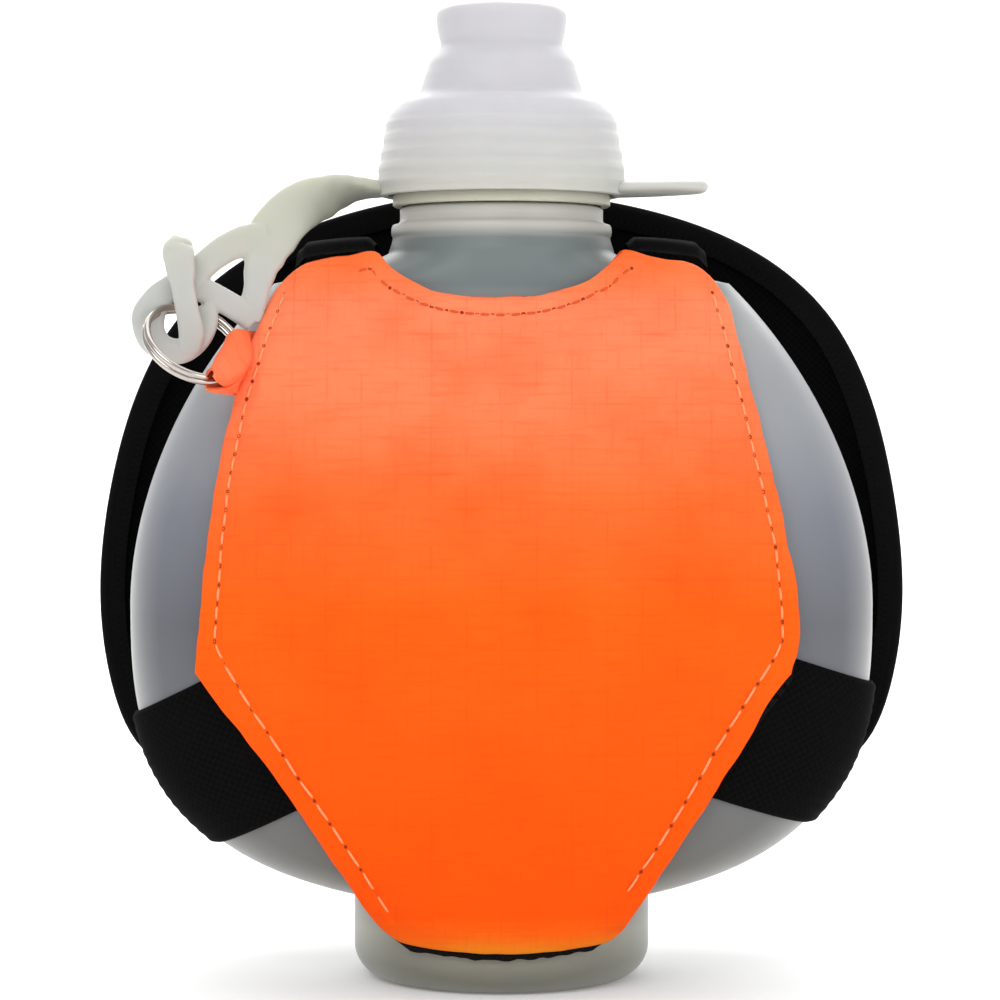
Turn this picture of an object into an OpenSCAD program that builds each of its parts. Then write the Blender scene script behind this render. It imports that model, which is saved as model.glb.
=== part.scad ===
// Handheld running bottle in a hand-strap harness.
// Millimetres. Z is up and the front faces -Y. The origin is the centre of the foot's underside.

/* [Bottle] */
// Widest half width of the disc-shaped body
disc_half_width = 57.4; // [56.4:0.1:58.4]
// Half of the body's thickness, which is also the radius of its foot
disc_half_depth = 23; // [22.6:0.1:23.4]
// Height of the body's widest level
disc_mid_z = 58; // [57.5:0.1:58.5]
// Wall of the blown bottle
bottle_wall = 1.6; // [1.2:0.1:1.8]
// Level at which the shoulder runs into the neck
neck_base_z = 111.4; // [111:0.1:111.8]
// Outer radius of the neck below the finish
neck_r = 17; // [16.8:0.1:17.2]

/* [Cap] */
// Rise of the thread in one turn
thread_pitch = 3; // [2.8:0.1:3.2]
// Travel of the push-pull nozzle
nozzle_travel = 5; // [3:0.5:5]

/* [Dust cover] */
// Wall of the silicone cover
cover_wall = 1.2; // [1:0.1:1.4]
// Width of the tether and of the pull tab's root
tether_w = 7.6; // [7:0.2:9]
// Thickness of the tether and of the pull tab
tether_t = 2.2; // [1.8:0.1:2.4]

/* [Harness] */
// Width of the ribbed elastic at each side
elastic_w = 25; // [22:0.5:26]
// Thickness of the ribbed elastic
elastic_t = 1.6; // [1.2:0.1:1.8]
// Radius of the round back panel
back_r = 63.3; // [62.6:0.1:63.8]
// Thickness of the neoprene back panel
back_t = 3; // [2:0.5:3.5]
// Width of the hand strap
hand_strap_w = 38; // [30:1:45]
// Room for the hand between the back panel and the hand strap
hand_room = 26; // [22:1:30]

/* [Ring] */
// Mean radius of the split ring
ring_r = 7.5; // [7:0.1:8]
// Diameter of the split ring's wire
ring_wire = 1.15; // [1:0.05:1.3]

/* [Hidden] */
$fn = 72;

frosted = [0.78, 0.81, 0.82];
silicone = [0.86, 0.87, 0.84];
orange = [0.98, 0.42, 0.16];
black = [0.08, 0.08, 0.08];
nickel = [0.75, 0.73, 0.72];

// ---- Plain helpers ----

function clamp01(v) = min(1, max(0, v));
function ease(from, to, v) = let (t = clamp01((v - from) / (to - from))) t * t * (3 - 2 * t);
function mix(a, b, t) = a + (b - a) * t;
function signed_pow(v, p) = sign(v) * pow(abs(v), p);

// A closed solid skinned over a stack of loops that have the same number of points and turn
// anticlockwise seen from the last loop. A loop that is a folded strip is capped by cross strips.
module loft(loops, strip = false) {
    n = len(loops[0]);
    last = len(loops) - 1;
    sides = [for (k = [0:last - 1], i = [0:n - 1])
        let (a = k * n + i, b = k * n + (i + 1) % n)
        each [[a, b + n, b], [a, a + n, b + n]]];
    strips = [for (i = [0:n / 2 - 2]) each [[i, i + 1, n - 2 - i], [i, n - 2 - i, n - 1 - i]]];
    first_cap = strip ? strips : [[for (i = [0:n - 1]) i]];
    last_cap = [for (face = first_cap) [for (i = [len(face) - 1:-1:0]) face[i] + last * n]];
    polyhedron([for (loop = loops) each loop], concat(sides, first_cap, last_cap), convexity = 6);
}

// ---- Shape of the bottle's body ----

disc_rise = 66;
disc_rise_power = 1.8;
disc_drop = 45.8;
disc_drop_power = 2.8;
shoulder_z = 108;
plan_power = 2.5;
body_points = 40;

// Half width of the body at height z, grown by g
function body_half_width(z, g = 0) =
    z > disc_mid_z
    ? (disc_half_width + g) * pow(max(0, 1 - pow((z - disc_mid_z) / (disc_rise + g), disc_rise_power)),
                                  1 / disc_rise_power)
    : (disc_half_width + g) * pow(max(0, 1 - pow((disc_mid_z - z) / (disc_drop + g), disc_drop_power)),
                                  1 / disc_drop_power);

// Half depth of the body at height z, grown by g
function body_half_depth(z, g = 0) =
    disc_half_depth + g - (disc_half_depth - neck_r - 0.6) * ease(72, neck_base_z + 4, z);

// The body's plan is a superellipse that is nearly round where it meets the foot and the neck
function plan_power_at(half_width) = mix(2, plan_power, clamp01((half_width - 20) / 30));

// True where the point p lies in the body grown by g
function in_body(p, g) =
    let (w = body_half_width(p.z, g), d = body_half_depth(p.z, g), n = plan_power_at(w))
    w > 1 && pow(abs(p.x) / w, n) + pow(abs(p.y) / d, n) < 1;

// Depth of the body's front or back face at x and z, grown by g
function face_depth(x, z, g = 0) =
    let (w = max(1, body_half_width(z, g)), n = plan_power_at(w))
    body_half_depth(z, g) * pow(max(0, 1 - pow(min(1, abs(x) / w), n)), 1 / n);

function plan_loop(w, d, z) =
    let (n = plan_power_at(w))
    [for (i = [0:body_points - 1])
        let (a = 360 * i / body_points)
        [w * signed_pow(cos(a), 2 / n), d * signed_pow(sin(a), 2 / n), z]];

// Heights of the loops from the foot to the shoulder, closer together towards both ends
function body_levels(g) =
    concat([for (a = [74:-7.4:1]) disc_mid_z - (disc_drop + g) * pow(sin(a), 2 / disc_drop_power)],
           [for (i = [0:7]) disc_mid_z + (shoulder_z + g - disc_mid_z) * sin(90 * i / 7)]);

// The body grown by g, as a closed solid whose two flat ends are buried in the foot and the neck
module body_skin(g) {
    shoulder_w = body_half_width(shoulder_z) + g;
    shoulder_d = body_half_depth(shoulder_z, g);
    neck_w = neck_r + 1.1 + g;
    loft(concat(
        [for (z = body_levels(g)) plan_loop(body_half_width(z, g), body_half_depth(z, g), z)],
        [for (t = [0.35, 0.7, 1])
            plan_loop(mix(shoulder_w, neck_w, 1 - cos(90 * t)), mix(shoulder_d, neck_w, t),
                      mix(shoulder_z, neck_base_z, sin(90 * t)) + g)]));
}

// ---- Bottle ----

foot_r = disc_half_depth - 0.2;
foot_fillet = 5;
foot_top = 14.4;
floor_z = 3.6;
groove_mid_r = 12.4;
groove_half_w = 2.6;
groove_depth = 1;
finish_r = 14.2;
finish_bore_r = 12.6;
finish_base_z = 118.6;
finish_top_z = 125.6;
neck_groove_r = neck_r - 1.3;
thread_start_z = 120.2;
thread_crest = 0.95;
thread_turns = 1.1;

// Quarter-round edge of radius r about (cx, cy), from angle a to angle b
function arc(cx, cy, r, a, b, steps = 8) =
    [for (i = [0:steps]) let (t = mix(a, b, i / steps)) [cx + r * cos(t), cy + r * sin(t)]];

// A screw thread's rib, r_in to r_out, half heights h_in and h_out, standing clear of its wall's far side
module thread(r_in, h_in, r_out, h_out, start_z) {
    section = [[r_in, -h_in], [r_in, h_in], [r_out, h_out], [r_out, -h_out]];
    loft([for (a = [0:10:360 * thread_turns])
        [for (p = section) [p.x * cos(a), p.x * sin(a), start_z + thread_pitch * a / 360 + p.y]]]);
}

module neck_outside() {
    rotate_extrude() polygon([
        [0, neck_base_z - 1.2], [neck_r + 0.9, neck_base_z - 1.2], [neck_r + 0.9, neck_base_z],
        [neck_r, neck_base_z + 1.8], [neck_r - 0.2, 114.1], [neck_r, 114.5], [neck_r, 115.9],
        [neck_groove_r, 116.4],
        [neck_groove_r, finish_base_z], [finish_r, finish_base_z + 0.4], [finish_r, finish_top_z - 0.4],
        [finish_r - 0.4, finish_top_z], [0, finish_top_z]]);
}

module neck_inside() {
    rotate_extrude() polygon([
        [0, neck_base_z - 3], [neck_r - bottle_wall, neck_base_z - 3], [neck_r - bottle_wall, 114.6],
        [neck_groove_r - bottle_wall, 116.6], [neck_groove_r - bottle_wall, finish_base_z - 0.6],
        [finish_bore_r, finish_base_z + 1], [finish_bore_r, finish_top_z + 1], [0, finish_top_z + 1]]);
}

module foot_outside() {
    rotate_extrude() polygon(concat(
        [[0, 0]], arc(foot_r - foot_fillet, foot_fillet, foot_fillet, -90, 0),
        [[foot_r, foot_top], [0, foot_top]]));
}

module foot_inside() {
    inner_r = foot_r - bottle_wall;
    fillet = foot_fillet - bottle_wall;
    rotate_extrude() polygon(concat(
        [[0, floor_z]], arc(inner_r - fillet, floor_z + fillet, fillet, -90, 0),
        [[inner_r, foot_top + bottle_wall], [0, foot_top + bottle_wall]]));
}

// A shallow round groove under the foot, which parts its flat rim from its flat centre
module foot_groove() {
    rotate_extrude() polygon([
        [groove_mid_r - groove_half_w, -1], [groove_mid_r + groove_half_w, -1],
        [groove_mid_r + groove_half_w, 0], [groove_mid_r + groove_half_w / 2, groove_depth],
        [groove_mid_r - groove_half_w / 2, groove_depth], [groove_mid_r - groove_half_w, 0]]);
}

module bottle() {
    color(frosted) difference() {
        union() {
            body_skin(0);
            foot_outside();
            neck_outside();
            thread(finish_r - 0.3, 0.75, finish_r + thread_crest, 0.35, thread_start_z);
        }
        body_skin(-bottle_wall);
        foot_inside();
        neck_inside();
        foot_groove();
    }
}

// ---- Screw cap, gasket and nozzle ----

cap_base_z = 118.9;
cap_roof_z = 127.1;
cap_top_z = 128.7;
cap_bore_r = 15.45;
cap_rim_r = 16.8;
cap_side_r = 16;
cap_rim_top_z = 120.7;
cap_side_base_z = 121.4;
cap_rib_count = 48;
cap_rib_h = 6;
gasket_hole_r = 10.5;
chimney_r = 5;
chimney_bore_r = 3.6;
nozzle_base_z = 129;
nozzle_top_z = 139.3;
nozzle_lip_r = 5.25;
nozzle_bore_r = 5.85;
nozzle_foot_r = 7.4;
nozzle_waist_r = 6.5;
nozzle_head_r = 7.1;
nozzle_head_z = 137.8;
nozzle_lip_top_z = nozzle_base_z + 0.8;
stop_bead_r = 5.6;
stop_bead_z = nozzle_lip_top_z + nozzle_travel;
chimney_top_z = 136;
plug_r = 2.1;
plug_top_z = 138.9;
plug_base_z = 129.5;

// Fine grip ribs round the cap's side
module cap_ribs() {
    translate([0, 0, cap_side_base_z]) linear_extrude(cap_rib_h) polygon([
        for (i = [0:4 * cap_rib_count - 1])
            let (a = 90 * i / cap_rib_count, r = cap_side_r + (i % 4 < 2 ? 0.4 : 0))
            [r * cos(a), r * sin(a)]]);
}

module screw_cap() {
    color(silicone) {
        difference() {
            union() {
                rotate_extrude() polygon([
                    [0, cap_base_z], [cap_rim_r, cap_base_z], [cap_rim_r, cap_rim_top_z],
                    [cap_side_r, cap_side_base_z],
                    [cap_side_r, cap_top_z - 0.8], [cap_side_r - 0.8, cap_top_z], [chimney_r, cap_top_z],
                    [chimney_r, stop_bead_z], [stop_bead_r, stop_bead_z],
                    [stop_bead_r, stop_bead_z + 0.3], [chimney_r, chimney_top_z], [0, chimney_top_z]]);
                cap_ribs();
            }
            translate([0, 0, cap_base_z - 1]) cylinder(h = cap_roof_z - cap_base_z + 1, r = cap_bore_r);
            translate([0, 0, cap_roof_z - 1]) cylinder(h = 20, r = chimney_bore_r);
        }
        thread(cap_bore_r - 1, 0.3, cap_bore_r + 0.3, 0.6, thread_start_z + thread_pitch / 2);
        // The plug that shuts the nozzle, on three webs in the chimney
        translate([0, 0, plug_base_z]) cylinder(h = plug_top_z - plug_base_z - 1, r = plug_r);
        translate([0, 0, plug_top_z - 1]) cylinder(h = 1, r1 = plug_r, r2 = plug_r - 0.6);
        for (a = [0, 120, 240]) rotate(a)
            translate([plug_r - 0.4, -0.5, plug_base_z]) cube([chimney_bore_r - plug_r + 0.8, 1, 3.5]);
    }
}

module cap_gasket() {
    color("white") translate([0, 0, finish_top_z + 0.05]) difference() {
        cylinder(h = cap_roof_z - finish_top_z - 0.1, r = cap_bore_r - 0.25);
        translate([0, 0, -1]) cylinder(h = 5, r = gasket_hole_r);
    }
}

module push_pull_nozzle() {
    hole_r = plug_r + 0.2;
    color(silicone) rotate_extrude() polygon(concat(
        [[nozzle_lip_r, nozzle_base_z], [nozzle_foot_r, nozzle_base_z], [nozzle_foot_r, nozzle_base_z + 1.2],
         [nozzle_foot_r - 0.6, nozzle_base_z + 2.2], [nozzle_waist_r, nozzle_head_z - 3],
         [nozzle_head_r, nozzle_head_z - 1.6], [nozzle_head_r, nozzle_head_z]],
        arc(nozzle_head_r - 1.5, nozzle_head_z, 1.5, 0, 90),
        [[hole_r, nozzle_top_z], [hole_r, nozzle_head_z + 0.1], [nozzle_bore_r, nozzle_head_z - 1.2],
         [nozzle_bore_r, nozzle_lip_top_z],
         [nozzle_lip_r, nozzle_lip_top_z]]));
}

// ---- Dust cover and tether ----

cover_base_z = 120.6;
cover_top_z = 149.5;
tab_z = 120.8;
tab_reach = 32.1;
tab_r = 6;
tether_root_x = 20.5;
cover_skirt_mid_r = 18.2;

// A polyline whose inner corners are rounded: each p holds x, y and the length cut from both sides
function rounded(path, steps = 5) = [
    for (i = [0:len(path) - 1])
        let (p = path[i])
        each (len(p) < 3 ? [[p.x, p.y]] :
            let (q = [p.x, p.y],
                 before = [path[i - 1].x, path[i - 1].y] - q,
                 after = [path[i + 1].x, path[i + 1].y] - q,
                 a = q + p.z * before / norm(before),
                 b = q + p.z * after / norm(after))
            [for (k = [0:steps])
                let (t = k / steps) pow(1 - t, 2) * a + 2 * t * (1 - t) * q + pow(t, 2) * b])];

// A polyline moved sideways by d, to its right
function inset(path, d) = [
    for (i = [0:len(path) - 1])
        let (a = path[max(0, i - 1)], b = path[min(len(path) - 1, i + 1)], run = (b - a) / norm(b - a))
        path[i] + d * [-run.y, run.x]];

// The cover's outside from its lower edge to the middle of its top: radius, height and rounding
cover_outside = rounded([
    [18.7, cover_base_z], [19.2, 123.4, 1], [17.6, 132.7, 1.3], [16.2, 134.7, 1], [12.8, 135.8, 1.4],
    [11.15, 141.4, 0.8], [9.3, 143.6, 0.8], [10.05, 146.6, 1.3], [10.05, cover_top_z, 1.4],
    [0.02, cover_top_z]]);

module dust_cover() {
    inside = inset(cover_outside, cover_wall);
    n = len(inside);
    color(silicone) {
        rotate_extrude() polygon(concat(
            cover_outside, [[0.02, cover_top_z - cover_wall]], [for (i = [n - 2:-1:1]) inside[i]],
            [[cover_outside[0].x - cover_wall, cover_base_z]]));
        difference() {
            translate([0, 0, tab_z]) linear_extrude(tether_t - 0.3) {
                translate([0, -tab_r]) square([tab_reach - tab_r, 2 * tab_r]);
                translate([tab_reach - tab_r, 0]) circle(tab_r);
                translate([-tether_root_x, -tether_w / 2]) square([tether_root_x, tether_w]);
            }
            translate([0, 0, tab_z - 1]) cylinder(h = 5, r = cover_skirt_mid_r);
        }
    }
}

// The tether's route from the cover to the hitch. It starts square to the cover's stub.
tether_route = [[-tether_root_x - 0.05, 0, 121.75], [-22.4, 0, 121.75], [-24.6, -0.6, 121.5], [-27.2, -2, 120.5],
                [-31, -5, 118.2], [-34.6, -8.8, 113.8], [-37.4, -12, 108.4]];
tether_turn = 62;
tether_sides = 10;

// Catmull-Rom point at u, from 0 to the last index of the route
function route_point(route, u) =
    let (last = len(route) - 1,
         i = min(floor(u), last - 1), t = u - i,
         b = route[i], c = route[i + 1],
         a = i > 0 ? route[i - 1] : 2 * b - c,
         d = i < last - 1 ? route[i + 2] : 2 * c - b)
    0.5 * (2 * b + (c - a) * t + (2 * a - 5 * b + 4 * c - d) * t * t + (3 * b - a - 3 * c + d) * t * t * t);

function unit(v) = v / norm(v);

// The flat tether leaves the cover lying level, and turns to face the front as it comes down
module tether_strap() {
    last = len(tether_route) - 1;
    color(silicone) loft([
        for (u = [0:0.25:last])
            let (p = route_point(tether_route, u),
                 ahead = unit(route_point(tether_route, min(last, u + 0.05))
                              - route_point(tether_route, max(0, u - 0.05))),
                 level = unit(cross(cross(ahead, [0, -1, 0]), ahead)),
                 turn = tether_turn * ease(1.5, 4, u),
                 wide = level * cos(turn) + cross(ahead, level) * sin(turn),
                 thin = cross(ahead, wide))
            [for (k = [0:tether_sides - 1])
                let (a = 360 * k / tether_sides)
                p + wide * signed_pow(cos(a), 0.5) * tether_w / 2
                  + thin * signed_pow(sin(a), 0.6) * tether_t / 2]]);
}

// ---- Split ring, its hitch and its tab ----

ring_centre = [-45.8, -19.6, 97.4];
ring_tilt = 36.87;
ring_slope = 30;
ring_axis = [cos(ring_tilt) * sin(ring_slope), -sin(ring_tilt), cos(ring_tilt) * cos(ring_slope)];
hitch_r = 3.9;
hitch_bar_r = 1.7;
hitch_end = [-38.6, -13.6, 106.6];
tab_w = 6.8;
tab_wall = 0.6;
tab_room = 0.25;
// How far the ring's curve runs off its tangent within the tab
tab_sag = ring_r - sqrt(pow(ring_r, 2) - pow(tab_w / 2, 2));

// The ring's own frame: X runs towards the fabric tab and Z is the ring's axis
module in_ring_frame() {
    translate(ring_centre) rotate([ring_tilt, ring_slope, 0]) children();
}

// Two flat coils side by side
module split_ring() {
    color(nickel) in_ring_frame() rotate_extrude()
        for (side = [-1, 1]) translate([ring_r, side * ring_wire * 0.48]) circle(d = ring_wire, $fn = 24);
}

// The tether's eye round the split ring, with a round bar back to the tether
module tether_hitch() {
    eye = ring_centre + ring_r * [-cos(ring_slope), 0, sin(ring_slope)];
    top = eye + hitch_r * ring_axis;
    reach = hitch_end - top;
    length = norm(reach);
    color(silicone) {
        in_ring_frame() translate([-ring_r, 0, 0]) rotate([90, 0, 0])
            rotate_extrude() translate([hitch_r, 0]) circle(hitch_bar_r, $fn = 32);
        translate(top) rotate([0, acos(reach.z / length), atan2(reach.y, reach.x)])
            cylinder(h = length, r = hitch_bar_r, $fn = 32);
    }
}

// A ribbon folded into a flat tube round the ring, beside the shield's edge
module ring_tab() {
    inside = [ring_wire * 0.5 + tab_room + tab_sag, ring_wire + 2 * tab_room];
    slot = [inside.x + ring_wire / 2 + tab_room, inside.y + ring_wire];
    color(orange) in_ring_frame() translate([ring_r, 0, 0]) rotate([90, 0, 0])
        linear_extrude(tab_w, center = true) difference() {
            translate([-inside.x - tab_wall, -slot.y / 2 - tab_wall]) square(slot + 2 * [tab_wall, tab_wall]);
            translate([-inside.x, -slot.y / 2]) square(slot);
        }
}

// ---- Front shield ----

hem_z = 8.4;
hem_half_w = 17.3;
corner_z = 51.5;
corner_half_w = 45.2;
side_draw = 11;
side_run = 53;
shield_top_z = 110.7;
shoulder_round = 6;
hem_round = 3;
neckline_half_w = 18.2;
neckline_z = 104.2;
shield_t = 0.8;
lining_gap = 0.4;
lining_t = 0.5;
shield_columns = 24;
elastic_gap = 1.15;

// Half width of the shield at height z: straight lower diagonals, then sides that curve in
function shield_half_w(z) =
    let (side = z < corner_z
            ? mix(hem_half_w, corner_half_w, (z - hem_z) / (corner_z - hem_z))
            : corner_half_w - side_draw * pow((z - corner_z) / side_run, 1.6),
         top_cut = shoulder_round * (1 - sqrt(1 - pow(clamp01((z - shield_top_z) / shoulder_round + 1), 2))),
         hem_cut = hem_round * (1 - sqrt(1 - pow(clamp01((hem_z - z) / hem_round + 1), 2))))
    side - top_cut - hem_cut;

// Height of the top edge at x: level shoulders with the neckline scooped between them
function shield_top(x) =
    neckline_z + (shield_top_z - neckline_z) * pow(clamp01(abs(x) / neckline_half_w), 2.6);

// How far cloth at x and z lies in front of the middle plane when it is g off the bottle
function drape(x, z, g) =
    let (foot = sqrt(max(0, pow(foot_r + g, 2) - x * x)))
    mix(foot, face_depth(x, max(z, 16), g), ease(3, 15.5, z));

// The shield lies close to the bottle, and further off where it covers the side elastics
function shield_gap(z) = mix(1.1, elastic_gap + elastic_t + 0.2, ease(8, 24, z) * (1 - ease(54, 76, z)));

// Shares of the shield's height from the hem to the shoulders, closest together at the rounded corners
shield_h = shield_top_z - hem_z;
hem_share = hem_round / shield_h;
corner_share = (corner_z - hem_z) / shield_h;
shoulder_share = 1 - shoulder_round / shield_h;
shield_levels = concat([0, 0.5, 1.4] / shield_h, [for (i = [0:8]) mix(hem_share, corner_share, i / 8)],
                       [for (i = [1:10]) mix(corner_share, shoulder_share, i / 10)], [0.96, 0.98, 0.992, 1]);

// Cloth of thickness t between the hem and the top edge, its outline drawn in by margin
module shield_cloth(margin, drop, t) {
    loft([for (v = shield_levels)
        let (side_z = mix(hem_z, shield_top_z, v), half = shield_half_w(side_z) - margin)
        [for (k = [0:2 * shield_columns + 1])
            let (outer = k <= shield_columns,
                 i = outer ? k : 2 * shield_columns + 1 - k,
                 x = half * (2 * i / shield_columns - 1),
                 z = mix(hem_z - drop, shield_top(x) - margin, v),
                 g = (margin > 0 ? lining_gap : shield_gap(z)) + (outer ? t : 0))
            [x, -drape(x, z, g), z]]], strip = true);
}

module shield_face() {
    color(orange) shield_cloth(0, 0, shield_t);
}

module shield_lining() {
    color(black) shield_cloth(1, 1.4, lining_t);
}

// ---- Side elastics ----

elastic_angle = 28.6;
elastic_front = -33;
elastic_back = 25;
elastic_core_z = 57.4;

// How far a ray from the body's core runs before it leaves the body grown by g
function reach(core, ray, g, near = 5, far = 90, steps = 20) =
    let (middle = (near + far) / 2)
    steps == 0 ? middle
    : in_body(core + middle * ray, g) ? reach(core, ray, g, middle, far, steps - 1)
    : reach(core, ray, g, near, middle, steps - 1);

// The right-hand elastic: it runs out from under the shield and round the bottle's edge to the back
module side_elastic() {
    along = [cos(elastic_angle), 0, -sin(elastic_angle)];
    across = [sin(elastic_angle), 0, cos(elastic_angle)];
    strips = 8;
    loft([for (a = [elastic_front:4:elastic_back])
        [for (k = [0:2 * strips + 1])
            let (inner = k <= strips,
                 i = inner ? k : 2 * strips + 1 - k,
                 core = [0, 0, elastic_core_z] + across * elastic_w * (i / strips - 0.5),
                 ray = along * cos(a) + [0, 1, 0] * sin(a))
            core + ray * reach(core, ray, elastic_gap + (inner ? 0 : elastic_t))]], strip = true);
}

module elastic_right() {
    color(black) side_elastic();
}

module elastic_left() {
    color(black) mirror([1, 0, 0]) side_elastic();
}

// ---- Back panel, its binding, the shoulder straps and the hand strap ----

back_centre_z = 58.7;
back_y = 25;
back_curl = 9;
back_curl_power = 3.5;
back_foot_drop = 31.9;
back_corner_power = 8;
back_bulge = 0.065;
back_sides = 60;
binding_t = 1.2;
binding_lap = 0.35;

// Radius of the back panel in the direction a: a circle that bulges at its upper corners and is cut
// off level below, with rounded corners
function back_radius(a) =
    let (circle_r = back_r * (1 + back_bulge * pow(2 * max(0, sin(a)) * cos(a), 2)))
    pow(pow(1 / circle_r, back_corner_power) + pow(max(0, -sin(a)) / back_foot_drop, back_corner_power),
        -1 / back_corner_power);

// The panel's front face bends forward towards its edge, and less so behind the neck
function back_face_y(r, a) =
    back_y - mix(back_curl, 3, ease(0.6, 0.9, sin(a))) * pow(r / back_r, back_curl_power);

function back_point(share, a, lift) =
    let (r = share * back_radius(a))
    [-r * cos(a), back_face_y(r, a) + lift, back_centre_z + r * sin(a)];

module back_panel() {
    shares = [0.12, 0.35, 0.55, 0.7, 0.82, 0.91, 0.97, 1];
    angles = [for (i = [0:back_sides - 1]) 360 * i / back_sides];
    color(black) loft(concat(
        [for (share = shares) [for (a = angles) back_point(share, a, 0)]],
        [for (k = [len(shares) - 1:-1:0]) [for (a = angles) back_point(shares[k], a, back_t)]]));
}

// Binding tape folded over the panel's edge, drawn as a closed band just outside it
module back_binding() {
    corners = [[0.05, -binding_lap], [0.05, back_t + binding_lap],
               [binding_t, back_t + binding_lap], [binding_t, -binding_lap]];
    points = [for (i = [0:back_sides - 1])
        let (a = 360 * i / back_sides, r = back_radius(a), y = back_face_y(r, a))
        each [for (c = corners)
            [-(r + c.x) * cos(a), y + c.y, back_centre_z + (r + c.x) * sin(a)]]];
    faces = [for (i = [0:back_sides - 1], k = [0:3])
        let (a = 4 * i + k, b = 4 * i + (k + 1) % 4,
             c = 4 * ((i + 1) % back_sides) + (k + 1) % 4, d = 4 * ((i + 1) % back_sides) + k)
        each [[a, b, c], [a, c, d]]];
    color(black) polyhedron(points, faces, convexity = 6);
}

shoulder_strap_inner = 20;
shoulder_strap_outer = 31;
shoulder_strap_t = 1.8;
shoulder_strap_base = 112.1;
shoulder_strap_rise = 2.6;
shoulder_strap_fall = 1.5;
shoulder_strap_arch = 150;
shoulder_strap_front = -7;
shoulder_strap_back = 21.4;

// A strip over the bottle's shoulder that ties the top of the shield to the back panel
module shoulder_strap() {
    strips = 4;
    loft([for (v = [0:0.1:1])
        [for (k = [0:2 * strips + 1])
            let (under = k > strips,
                 i = under ? 2 * strips + 1 - k : k,
                 x = mix(shoulder_strap_inner, shoulder_strap_outer, i / strips),
                 fall = shoulder_strap_fall * pow(i / strips, 2),
                 z = shoulder_strap_base + shoulder_strap_rise * sin(shoulder_strap_arch * v)
                     - fall * (1 - 0.7 * v))
            [x, mix(shoulder_strap_front, shoulder_strap_back, v), z + (under ? 0 : shoulder_strap_t)]]],
        strip = true);
}

module shoulder_strap_right() {
    color(black) shoulder_strap();
}

module shoulder_strap_left() {
    color(black) mirror([1, 0, 0]) shoulder_strap();
}

hand_strap_z = 62;
hand_strap_t = 2;
hand_strap_span = 52;
hand_strap_end_y = 23.6;

// An arched elastic strap over the back of the hand
module hand_strap() {
    inner_y = back_y + back_t + hand_room;
    rise = inner_y - hand_strap_end_y;
    radius = (pow(hand_strap_span, 2) + pow(rise, 2)) / (2 * rise);
    clear = 2 * radius;
    color(black) translate([0, 0, hand_strap_z - hand_strap_w / 2]) linear_extrude(hand_strap_w)
        difference() {
            translate([0, inner_y - radius]) circle(radius + hand_strap_t, $fn = 160);
            translate([0, inner_y - radius]) circle(radius, $fn = 160);
            translate([-clear, hand_strap_end_y - 2 * clear]) square(2 * clear);
        }
}

bottle();
screw_cap();
cap_gasket();
push_pull_nozzle();
dust_cover();
tether_strap();
tether_hitch();
split_ring();
ring_tab();
shield_face();
shield_lining();
elastic_left();
elastic_right();
shoulder_strap_left();
shoulder_strap_right();
back_panel();
back_binding();
hand_strap();
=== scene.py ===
"""Handheld running bottle in a hand-strap harness: its looks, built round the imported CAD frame.

Lengths are written in millimetres and become metres where a mesh is made. X runs to the right, the front
faces -Y and Z is up, with the origin under the middle of the foot.
"""

import math

import bmesh
import bpy
from mathutils import Matrix, Vector, noise


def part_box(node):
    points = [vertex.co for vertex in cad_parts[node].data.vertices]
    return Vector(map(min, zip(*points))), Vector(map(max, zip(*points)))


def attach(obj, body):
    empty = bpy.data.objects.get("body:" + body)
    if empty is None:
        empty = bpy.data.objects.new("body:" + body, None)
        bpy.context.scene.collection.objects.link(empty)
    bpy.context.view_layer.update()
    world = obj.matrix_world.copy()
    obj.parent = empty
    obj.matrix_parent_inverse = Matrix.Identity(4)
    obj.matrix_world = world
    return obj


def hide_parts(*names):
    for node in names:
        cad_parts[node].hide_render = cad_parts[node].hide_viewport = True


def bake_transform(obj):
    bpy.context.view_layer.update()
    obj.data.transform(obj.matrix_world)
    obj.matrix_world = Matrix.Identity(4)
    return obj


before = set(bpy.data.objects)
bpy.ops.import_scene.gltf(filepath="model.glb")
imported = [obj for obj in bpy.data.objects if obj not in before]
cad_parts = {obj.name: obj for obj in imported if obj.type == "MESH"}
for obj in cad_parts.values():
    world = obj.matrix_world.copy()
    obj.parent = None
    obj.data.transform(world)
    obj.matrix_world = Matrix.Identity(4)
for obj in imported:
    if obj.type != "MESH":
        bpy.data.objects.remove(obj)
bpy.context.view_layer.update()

MM = 0.001

# ---- The CAD model's driving sizes ----

DISC_HALF_WIDTH = 57.4
DISC_HALF_DEPTH = 23.0
DISC_MID_Z = 58.0
DISC_RISE = 66.0
DISC_RISE_POWER = 1.8
DISC_DROP = 45.8
DISC_DROP_POWER = 2.8
SHOULDER_Z = 107.0
NECK_BASE_Z = 111.4
NECK_R = 17.0
WALL = 1.6
FOOT_R = 22.8
FOOT_FILLET = 5.0
FLOOR_Z = 3.6
FOOT_GROOVE_R = 12.4
THREAD_PITCH = 3.0
THREAD_TURNS = 1.1
PLAN_POINTS = 144

RING_R = 7.5
RING_WIRE = 1.0
RING_AXES = Matrix(((0.866, 0.3, 0.4), (0.0, 0.8, -0.6), (-0.5, 0.52, 0.6928)))

HEM_Z = 8.4
HEM_HALF_W = 17.3
CORNER_Z = 51.5
CORNER_HALF_W = 45.2
SHIELD_TOP_Z = 110.7
SHIELD_SHOULDER_ROUND = 5.2
SIDE_DRAW = 9.7
HEM_ROUND = 2.3
HEM_SAG = 1.5
NECKLINE_HALF_W = 18.2
NECKLINE_Z = 104.2
SHIELD_T = 0.8
STITCH_INSET = 2.9
NECK_STITCH_INSET = 2.5
LINING_DROP = 1.0
LINING_MARGIN = 1.4

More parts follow.
